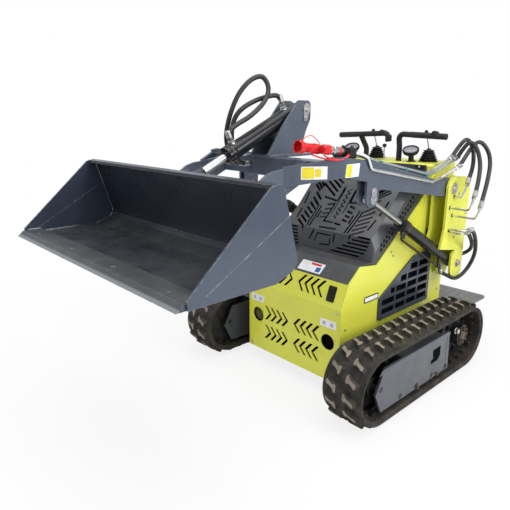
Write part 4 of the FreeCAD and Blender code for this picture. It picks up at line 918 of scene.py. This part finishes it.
def make_levers():
    boots, steel, knobs = bmesh.new(), bmesh.new(), bmesh.new()
    folds = ribs(5, 6, 9.6, ((1, 36), (4.5, 42), (6.5, 42), (9, 35)), -4)
    boot = [(0.4, 44), (4, 44), (5, 41)] + folds + [(55, 11), (60, 9), (61, 4)]
    for across, back, lean in ((204, 708, (-6, -26)), (-100, 735, (-8, -30))):
        turned(boots, at(across, back, 934.2), UP, boot, 48)
        foot, top = at(across, back, 988), at(across + lean[0], back + lean[1], 1068)
        turned(steel, foot, top - foot, [(0, 4), (4, 3.4), ((top - foot).length / MM, 3.4)], 20)
        turned(knobs, top, top - foot, [(-8, 4), (-6, 7), (0, 8.6), (6, 8.2), (10, 5.5), (12, 1)], 28)
    turned(steel, at(5, 640, 934.4), UP, [(0, 7), (4, 7), (5, 3), (62, 3)], 20)
    turned(knobs, at(5, 640, 994), UP, [(0, 5), (3, 9.6), (14, 10), (17, 7), (18, 2)], 12)
    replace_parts(piece("lever_boots", boots, BOOT, 50), "controls")
    piece("lever_rods", steel, ZINC, 35, slot="dark_plastic")
    piece("lever_knobs", knobs, BLACK, 50)


def make_gauges():
    pods, faces = bmesh.new(), bmesh.new()
    rise = Vector((0.16, -0.42, 0.9))
    pod = [(-8, 12), (-6, 24), (2, 34), (9, 37.5), (17, 38), (20, 36.6), (20.4, 33), (16, 31.5)]
    for across in (150, -186):
        middle = at(across, 640, 975)
        turned(pods, middle, rise, pod, 56)
        turned(faces, middle, rise, [(12, 31.6), (16.5, 31.4), (18.5, 22), (18.8, 6)], 56)
        turned(pods, at(across, 648, 934.4), Vector((0, -0.1, 1)), [(0, 22), (3, 22), (5, 13), (36, 12)], 32)
    piece("instrument_pods", pods, BLACK, 35)
    piece("instrument_faces", faces, DIAL, 35)


def make_grips():
    """Ribbed sleeves on the hand grips, and the knuckles beside them."""
    sleeves = bmesh.new()
    for start, end in (((325, 630, 1053), (150, 630, 1058.2)), ((-256, 628, 1047), (-150, 629.5, 1052.7))):
        ahead = at(*end) - at(*start)
        length = ahead.length / MM
        bands = ribs(int((length - 14) // 9), 8, 9, ((0, 13.3), (1.5, 13.8), (6, 13.8), (7.5, 13.3)))
        turned(sleeves, at(*start), ahead, [(-0.2, 10), (0.3, 13.2), (3, 13.9), (6, 13.9), (7, 13.4)] + bands
               + [(length - 4, 13.9), (length, 13.1)], 36)
    piece("grip_sleeves", sleeves, GRIP, 40)
    knuckles = bmesh.new()
    lean = Vector((0.2, 0, 1))
    for across in (-6, 268):
        turned(knuckles, at(across, 631, 1060), lean, [(-4, 17), (8, 17), (14, 15), (17, 9)], 28)
    turned(knuckles, at(29, 632, 1046), -UP, [(-8, 14), (0, 15.5), (18, 15.5), (22, 12)], 28)
    piece("grip_knuckles", knuckles, BLACK, 35)


# ---- fasteners, labels and small fittings

# Faces that small pieces sit on, as places across or back.
SIDE_FACE, FRAME_FACE, TOWER_FACE = 273, 510, 370
CONSOLE_FACE, REAR = 604, 815


def make_side_fittings(name, side):
    """Bolts, painted shade in recesses, folds and grommets on one side."""
    out = LEFT * side
    bolts = bmesh.new()
    for across, size, spots in (
            (509, 20, [(530, 222)]),
            (SIDE_FACE, 8, [(334, 574), (352, 553), (30, 110), (30, 300), (780, 110), (780, 300), (240, 110),
                            (560, 110)]),
            (375, 15, [(655, 829), (764, 460)]),
            (TOWER_FACE, 9, [(706, 800), (700, 600), (796, 700)])):
        bolt_all(bolts, wall(side * across, spots), out, size)
    piece(f"{name}_bolts", bolts, ZINC, 30)
    dull = bmesh.new()
    bolt_all(dull, wall(side * FRAME_FACE, [(217, 66), (380, 66)]), out, 13)
    circle = [(SPROCKET_BACK + 34 * math.cos(a), AXLE_HEIGHT + 34 * math.sin(a))
            for a in (math.pi / 4 * i for i in range(8))]
    bolt_all(dull, wall(side * 490, circle), out, 12, False)
    turned(dull, at(side * 489, SPROCKET_BACK, AXLE_HEIGHT), out, [(0, 24), (5, 23), (9, 20), (10, 8)], 40)
    piece(f"{name}_track_bolts", dull, RUSTY, 30)
    # Painted shade: black sheets in the side panel's slot, the track frame's opening and a narrow gap between
    # its plates.
    recess = bmesh.new()
    plate(recess, rounded(wall(side * SIDE_FACE, corners(622, 660, 604, 635)), 5), out, 0.5)
    gap = [(330, 192), (396, 196), (396, 150), (375, 133), (322, 131), (322, 148), (338, 152)]
    plate(recess, wall(side * FRAME_FACE, gap), out, 0.4)
    plate(recess, wall(side * FRAME_FACE, corners(450, 452, 62, 237)), out, 0.3)
    piece(f"{name}_frame_painted_shade", recess, SHADE_BLACK)
    fold = wall(side * FRAME_FACE, [(-66, 219), (472, 219), (472, 237.6), (-48, 237.6)])
    piece(f"{name}_frame_fold", slab(fold, out, 0.8, 0.5), SLATE)
    eye = slab(rounded(wall(side * 354.2, [(34, 838), (70, 838), (66, 884), (38, 884)]), 16), out, 5.2, 1)
    hex_bolt(eye, at(side * 359, 52, 847), out, 14)
    hex_bolt(eye, at(side * 359, 52, 872), out, 10)
    piece(f"{name}_eye_bolts", eye, ZINC, 30, "lift_arms")
    holes = bmesh.new()
    for back, up in ((668, 789), (635, 743), (663, 704), (647, 636)):
        spots = wall(side * TOWER_FACE, corners(back - 9, back + 9, up - 8, up + 9))
        plate(holes, rounded(spots, 8), out, 1.2, 0.5)
    piece(f"{name}_grommets", holes, BOOT, 35)


def make_other_bolts():
    tilt = bmesh.new()
    for out in (LEFT, -LEFT):
        retainer = wall(out.x * 50.2, [(-8, 1176), (24, 1176), (12, 1122), (-6, 1122)])
        plate(tilt, rounded(retainer, 15), out, 5, 1)
        hex_bolt(tilt, at(out.x * 55, 9, 1164), out, 12)
        hex_bolt(tilt, at(out.x * 55, 3, 1135), out, 9)
    piece("tilt_pin_retainers", tilt, ZINC, 30, "lift_arms")
    front = bmesh.new()
    bolt_all(front, upright(0, (-250, 250, 78, 372)), -BACK, 9)
    piece("front_bolts", front, ZINC, 30)
    bucket = bmesh.new()
    plug = [(0, 7.6), (5.5, 7.6), (6.5, 6.4), (6.2, 3.5), (4, 3.2)]
    for across in (-420, -140, 140, 420):
        turned(bucket, at(across, -893, 722), UP, plug, 24)
    for across, out in ((202, -LEFT), (248, LEFT)):
        for _, side in SIDES:
            hex_bolt(bucket, at(side * across, -490, 773), out * side, 14)
    piece("bucket_bolts", bucket, STEEL, 30, "bucket")


def bead(name, places, radius, body):
    """A weld bead: overlapping ripples along straight runs."""
    mesh = bmesh.new()
    for a, b in zip(places, places[1:]):
        start, run = at(*a), at(*b) - at(*a)
        length = run.length / MM
        steps = max(2, int(length / 7))
        rings = [(0, radius * 0.4)]
        for i in range(steps):
            low = length * i / steps
            swell = 1 + 0.22 * noise.noise(start * 40 + run * 300 * i)
            rings += [(low + 1, radius * 0.82 * swell), (low + 4, radius * swell)]
        turned(mesh, start, run, rings + [(length, radius * 0.4)], 10)
    piece(name, mesh, WELD, 60, body)


def make_welds():
    inner = 518.5
    plate_run = [(inner, -606, 955), (inner, -550.5, 772), (inner, -550, 754), (inner, -565, 740),
                 (inner, -624, 718), (inner, -846, 718)]
    for name, side in SIDES:
        for title, places, radius, body in (
                ("bucket", plate_run, 2.6, "bucket"),
                ("edge", [(inner, -850, 730), (inner, -900, 729)], 2.4, "bucket"),
                ("toe", [(232, -182, 930), (232, -182, 984)], 2.4, "lift_arms"),
                ("tower", [(51.5, -190, 999), (51.5, -24, 999)], 2.4, "lift_arms"),
                ("cross", [(307, -181, 930), (307, -181, 986)], 2.2, "lift_arms")):
            bead(f"{name}_{title}_weld", mirrored(places, side), radius, body)


def label(name, corner, right, up, size, fields=(), body="chassis"):
    """A thin film on a face with plain coloured fields; fields are (low, high, bottom, top, material)."""
    right, up = Vector(right).normalized(), Vector(up).normalized()
    films = [(name, (0, size[0], 0, size[1]), 0.5, WHITE)]
    films += [(f"{name}_panel_{i}", field[:4], 0.8, field[4]) for i, field in enumerate(fields, 1)]
    for title, area, thickness, material in films:
        outline = rounded(on_plane(at(*corner), right, up, area), 3, 3)
        new_object(title, slab(outline, right.cross(up), thickness), material, body)


def make_labels():
    label("arm_label_front", (266, -251, 933), (123, 175, 0), UP, (92, 44),
          [(3, 46, 3, 41, YELLOW), (49, 70, 8, 36, YELLOW)], "lift_arms")
    label("arm_label_side", (354, -122, 936), BACK, (0, 0.12, 1), (76, 46),
          [(2, 33, 2, 44, YELLOW)], "lift_arms")
    label("nose_label", (-12, 48, 496.6), LEFT, (0, 75, 61), (128, 52),
          [(56, 112, 37, 48, RED), (94, 118, 6, 30, BLUE)])
    for side, low in (("left", 168), ("right", -256)):
        label(f"front_label_{side}", (low, 0, 298), LEFT, UP, (84, 34),
              [(14, 29, 9, 25, GREY), (52, 70, 8, 24, GREY)])
    border = rounded(wall(SIDE_FACE, corners(154, 256, 380, 408)), 5)
    piece("side_plate_frame", slab(border, LEFT, 1.5, 0.6), BLACK)
    label("side_plate", (274.2, 159, 385), BACK, UP, (92, 18))


def make_switches():
    """Black switch plate with two rockers on the front's sloping panel, and the hood's latch."""
    slope = Vector((0, 40, 100)).normalized()
    start, out = at(186, 8, 409), LEFT.cross(slope)
    switches = slab(rounded(on_plane(start, LEFT, slope, (0, 40, 0, 66)), 5), out, 3, 1)
    for low in (6, 35):
        rocker = on_plane(start, LEFT, slope, (8, 32, low, low + 24), 3)
        plate(switches, rounded(rocker, 3), out, 4.5, 2)
    piece("switch_plate", switches, BLACK, 30)
    latch = rounded(upright(CONSOLE_FACE, (204, 246, 910, 926)), 5)
    piece("console_latch", slab(latch, -BACK, 9, 2), BLACK, 30)
    pull = bmesh.new()
    turned(pull, at(225, 595, 918), -BACK, [(-1, 6), (2, 6), (3, 4.5), (3.5, 1)], 24)
    piece("latch_buttons", pull, ZINC, 35)


def make_rear():
    """Service door, louvres, latches and the platform's hinges on the back of the chassis, with painted shade
    round the door and under the louvres.
    """
    def area(low, high, bottom, top, radius, lift=0.0):
        return rounded(upright(REAR + lift, (high, low, bottom, top)), radius)
    piece("rear_door", slab(area(-198, 198, 330, 812, 16), BACK, 3.5, 1.2), LIME)
    # Painted shade: a black sheet behind the door shows as a dark gap round it, and black strips lie under
    # each louvre.
    dark, hoods = slab(area(-203, 203, 325, 817, 18), BACK, 0.5), bmesh.new()
    for height in range(380, 548, 24):
        for low, high in ((-150, -12), (12, 150)):
            plate(dark, area(low, high, height - 8, height, 4, 3.3), BACK, 0.6)
            rings = []
            for inset, reach, rise in ((-2, 3, 0), (-2, 8.5, -3), (3, 9.5, -1.5), (7, 5, 7), (9, 3, 9)):
                ends = (low + inset, high - inset)
                rings.append([at(x, REAR + reach, height + rise) for x in ends]
                             + [at(x, REAR + reach - 1.2, height + rise + 1) for x in ends[::-1]])
            loft(hoods, rings)
    piece("rear_painted_shade", dark, SHADE_BLACK)
    piece("rear_louvres", hoods, LIME)
    latches = bmesh.new()
    for across in (-172, 172):
        plate(latches, area(across - 13, across + 13, 600, 668, 7, 3.2), BACK, 4, 2)
        plate(latches, area(across - 7, across + 7, 618, 660, 4, 7), BACK, 5, 2.5)
    piece("door_latches", latches, BLACK, 30)
    bolts = bmesh.new()
    for across, lift, heights in ((186, 3.3, (345, 480, 740, 796)), (236, 0, (300, 520, 740, 880))):
        bolt_all(bolts, [at(x, REAR + lift, up) for x in (-across, across) for up in heights], BACK, 8)
    bolt_all(bolts, [at(x, REAR, 252) for x in (-150, -110, 110, 150)], BACK, 12)
    piece("rear_bolts", bolts, ZINC, 30)
    hinges = bmesh.new()
    knuckles = [(0, 6), (1, 7.5), (26, 7.5), (26.5, 6.8), (28, 6.8), (28.5, 7.5), (79, 7.5), (80, 6)]
    for across in (-130, 130):
        plate(hinges, area(across - 34, across + 34, 236, 268, 6), BACK, 6, 1.5)
        turned(hinges, at(across - 40, 829, 234), LEFT, knuckles, 24)
    piece("platform_hinges", hinges, SLATE, 30)


def make_liners():
    """Black sheets of painted shade behind the openings of the hood, front and grilles; the horn and the
    console's front.
    """
    mesh = bmesh.new()
    hood = [(214, 530), (233, 640), (322, 702), (422, 810), (480, 856), (598, 856)]
    for line, half in ((hood, 238), ([(22, 70), (22, 392), (60, 486)], 258)):
        sheets = [[(back + shift, up - shift) for back, up in line] for shift in (0, 2)]
        loft(mesh, [wall(-half, sheet) + wall(half, sheet[::-1]) for sheet in sheets])
    for _, side in SIDES:
        grille = [(262, 279), (671, 279), (671, 520), (520, 520), (262, 383)]
        plate(mesh, wall(side * 262, grille), LEFT * side, 1.5)
    piece("painted_shade_liners", mesh, SHADE_BLACK)
    horn = bmesh.new()
    cover = [(0, 33), (6, 33)] + [(9 - 4 * (i % 2), 30 - 4.5 * i) for i in range(6)] + [(8, 3), (8.5, 0.5)]
    turned(horn, at(-210, 21.5, 233), -BACK, cover, 40)
    piece("horn_cover", horn, HORN, 40)
    panel = rounded(upright(CONSOLE_FACE, (-258, 258, 884, 927)), 4)
    piece("console_front_panel", slab(panel, -BACK, 2, 0.6), HOOD)


def make_deck():
    """Raised bars of the tread plate on the operator's platform."""
    mesh = bmesh.new()
    for i in range(18):
        for j in range(9):
            lean = 0.6 if (i + j) % 2 else -0.6
            run = Vector((math.cos(lean), math.sin(lean), 0)) * 11
            side = Vector((-run.y, run.x, 0)).normalized() * 2.6
            middle = Vector((-370 + i * 43.5, 836 + j * 28, 215))
            spots = [-run, side - run * 0.6, side + run * 0.6, run, run * 0.6 - side, -run * 0.6 - side]
            plate(mesh, [at(*(middle + spot)) for spot in spots], UP, 1.4, 0.8)
    piece("deck_tread", mesh, DECK)


def make_pipe_clamps():
    mesh = bmesh.new()
    up = Vector((0, 0.22, 0.97))
    for back in (110, 290, 460):
        height = 987 - 0.2263 * (back - 30)
        spots = [(310, -9, 0.6), (342, -9, 0.6), (342, 9, -3.4), (310, 9, -3.4)]
        plate(mesh, [at(x, back + along, height + rise) for x, along, rise in spots], up, 13, 1)
        hex_bolt(mesh, at(326, back, height + 11), up, 8)
    piece("pipe_clamps", mesh, TEAL, 30, "lift_arms")
    nuts = bmesh.new()
    for first, second in (((300, -53, 1017), (312, 0, 1007)), ((317, -53, 1017), (333, -5, 1006)),
                          ((335, -53, 1017), (352, -28, 1011))):
        ahead = at(*second) - at(*first)
        turned(nuts, at(*first), ahead, [(-4, 8), (-3, 9.6), (9, 9.6), (10, 8)], 6)
        turned(nuts, at(*first), ahead, [(9, 8), (16, 7.4), (17, 6.3)], 24)
    piece("pipe_nuts", nuts, ZINC, 30, "lift_arms")


# ---- floor and light

PURE_WHITE = {"Color": (1, 1, 1, 1), "Strength": 1}
LAMPS = (("top_softbox", (0.3, -0.4, 3.4), (0, 0, 0.4), (3.4, 3.4), 62),
         ("left_softbox", (3.2, 0.6, 1.8), (0, 0.1, 0.5), (2.4, 1.8), 58),
         ("strip_light", (1.3, -0.2, 3.0), (0.2, -0.2, 0.7), (0.16, 3.2), 15),
         ("front_softbox", (-0.8, -3.6, 1.7), (0, -0.3, 0.5), (2.6, 1.8), 24))


def camera_rays(tree):
    return add_node(tree, "LightPath").outputs["Is Camera Ray"]


def show_mix(share, first, second, output):
    """Two shaders mixed into an output, the second by the share."""
    mix = add_node(share.id_data, "MixShader", {0: share, 1: first.outputs[0], 2: second.outputs[0]})
    feed(share.id_data.nodes[output], {"Surface": mix.outputs[0]})


def make_floor():
    """A pale floor that fades to the white background for the camera."""
    mesh = bmesh.new()
    bmesh.ops.create_grid(mesh, x_segments=8, y_segments=8, size=14)
    made, tree = material("studio_floor", Roughness=0.9, Specular_IOR_Level=0.1)
    surface = tree.nodes["Principled BSDF"]
    tone = spread(noise_of(tree, 3), 0, 1)
    feed(surface, {"Base Color": mixed(tone, (0.86, 0.86, 0.86), (0.88, 0.88, 0.88))})
    reach = add_node(tree, "VectorMath", {0: position(tree)}, operation="LENGTH").outputs["Value"]
    share = combined(camera_rays(tree), spread(reach, 0.82, 1, 0.9, 2.4))
    show_mix(share, surface, add_node(tree, "Emission", PURE_WHITE), "Material Output")
    new_object("floor", mesh, made, None)


def make_light():
    world = bpy.data.worlds.new("studio")
    bpy.context.scene.world = world
    world.use_nodes = True
    tree = world.node_tree
    soft = tree.nodes["Background"]
    feed(soft, {"Color": (0.94, 0.96, 1.0, 1), "Strength": 0.55})
    show_mix(camera_rays(tree), soft, add_node(tree, "Background", PURE_WHITE), "World Output")
    for name, point, target, size, power in LAMPS:
        lamp = bpy.data.lights.new(name, "AREA")
        lamp.shape = "RECTANGLE"
        lamp.size, lamp.size_y = size
        lamp.energy = power
        aim(name, lamp, point, Vector(target) - Vector(point))


make_camera()
make_floor()
make_light()
bpy.context.scene.view_settings.view_transform = "Standard"

for side_name, side_sign in SIDES:
    make_track(side_name, side_sign)
make_hood_cuts()
make_hoses()
make_couplers()
make_tilt_trim()
for side_name, side_sign in SIDES:
    make_lift_trim(side_name, side_sign)
make_levers()
make_gauges()
make_grips()
for side_name, side_sign in SIDES:
    make_side_fittings(side_name, side_sign)
make_other_bolts()
make_welds()
make_labels()
make_switches()
make_liners()
make_rear()
make_deck()
make_pipe_clamps()
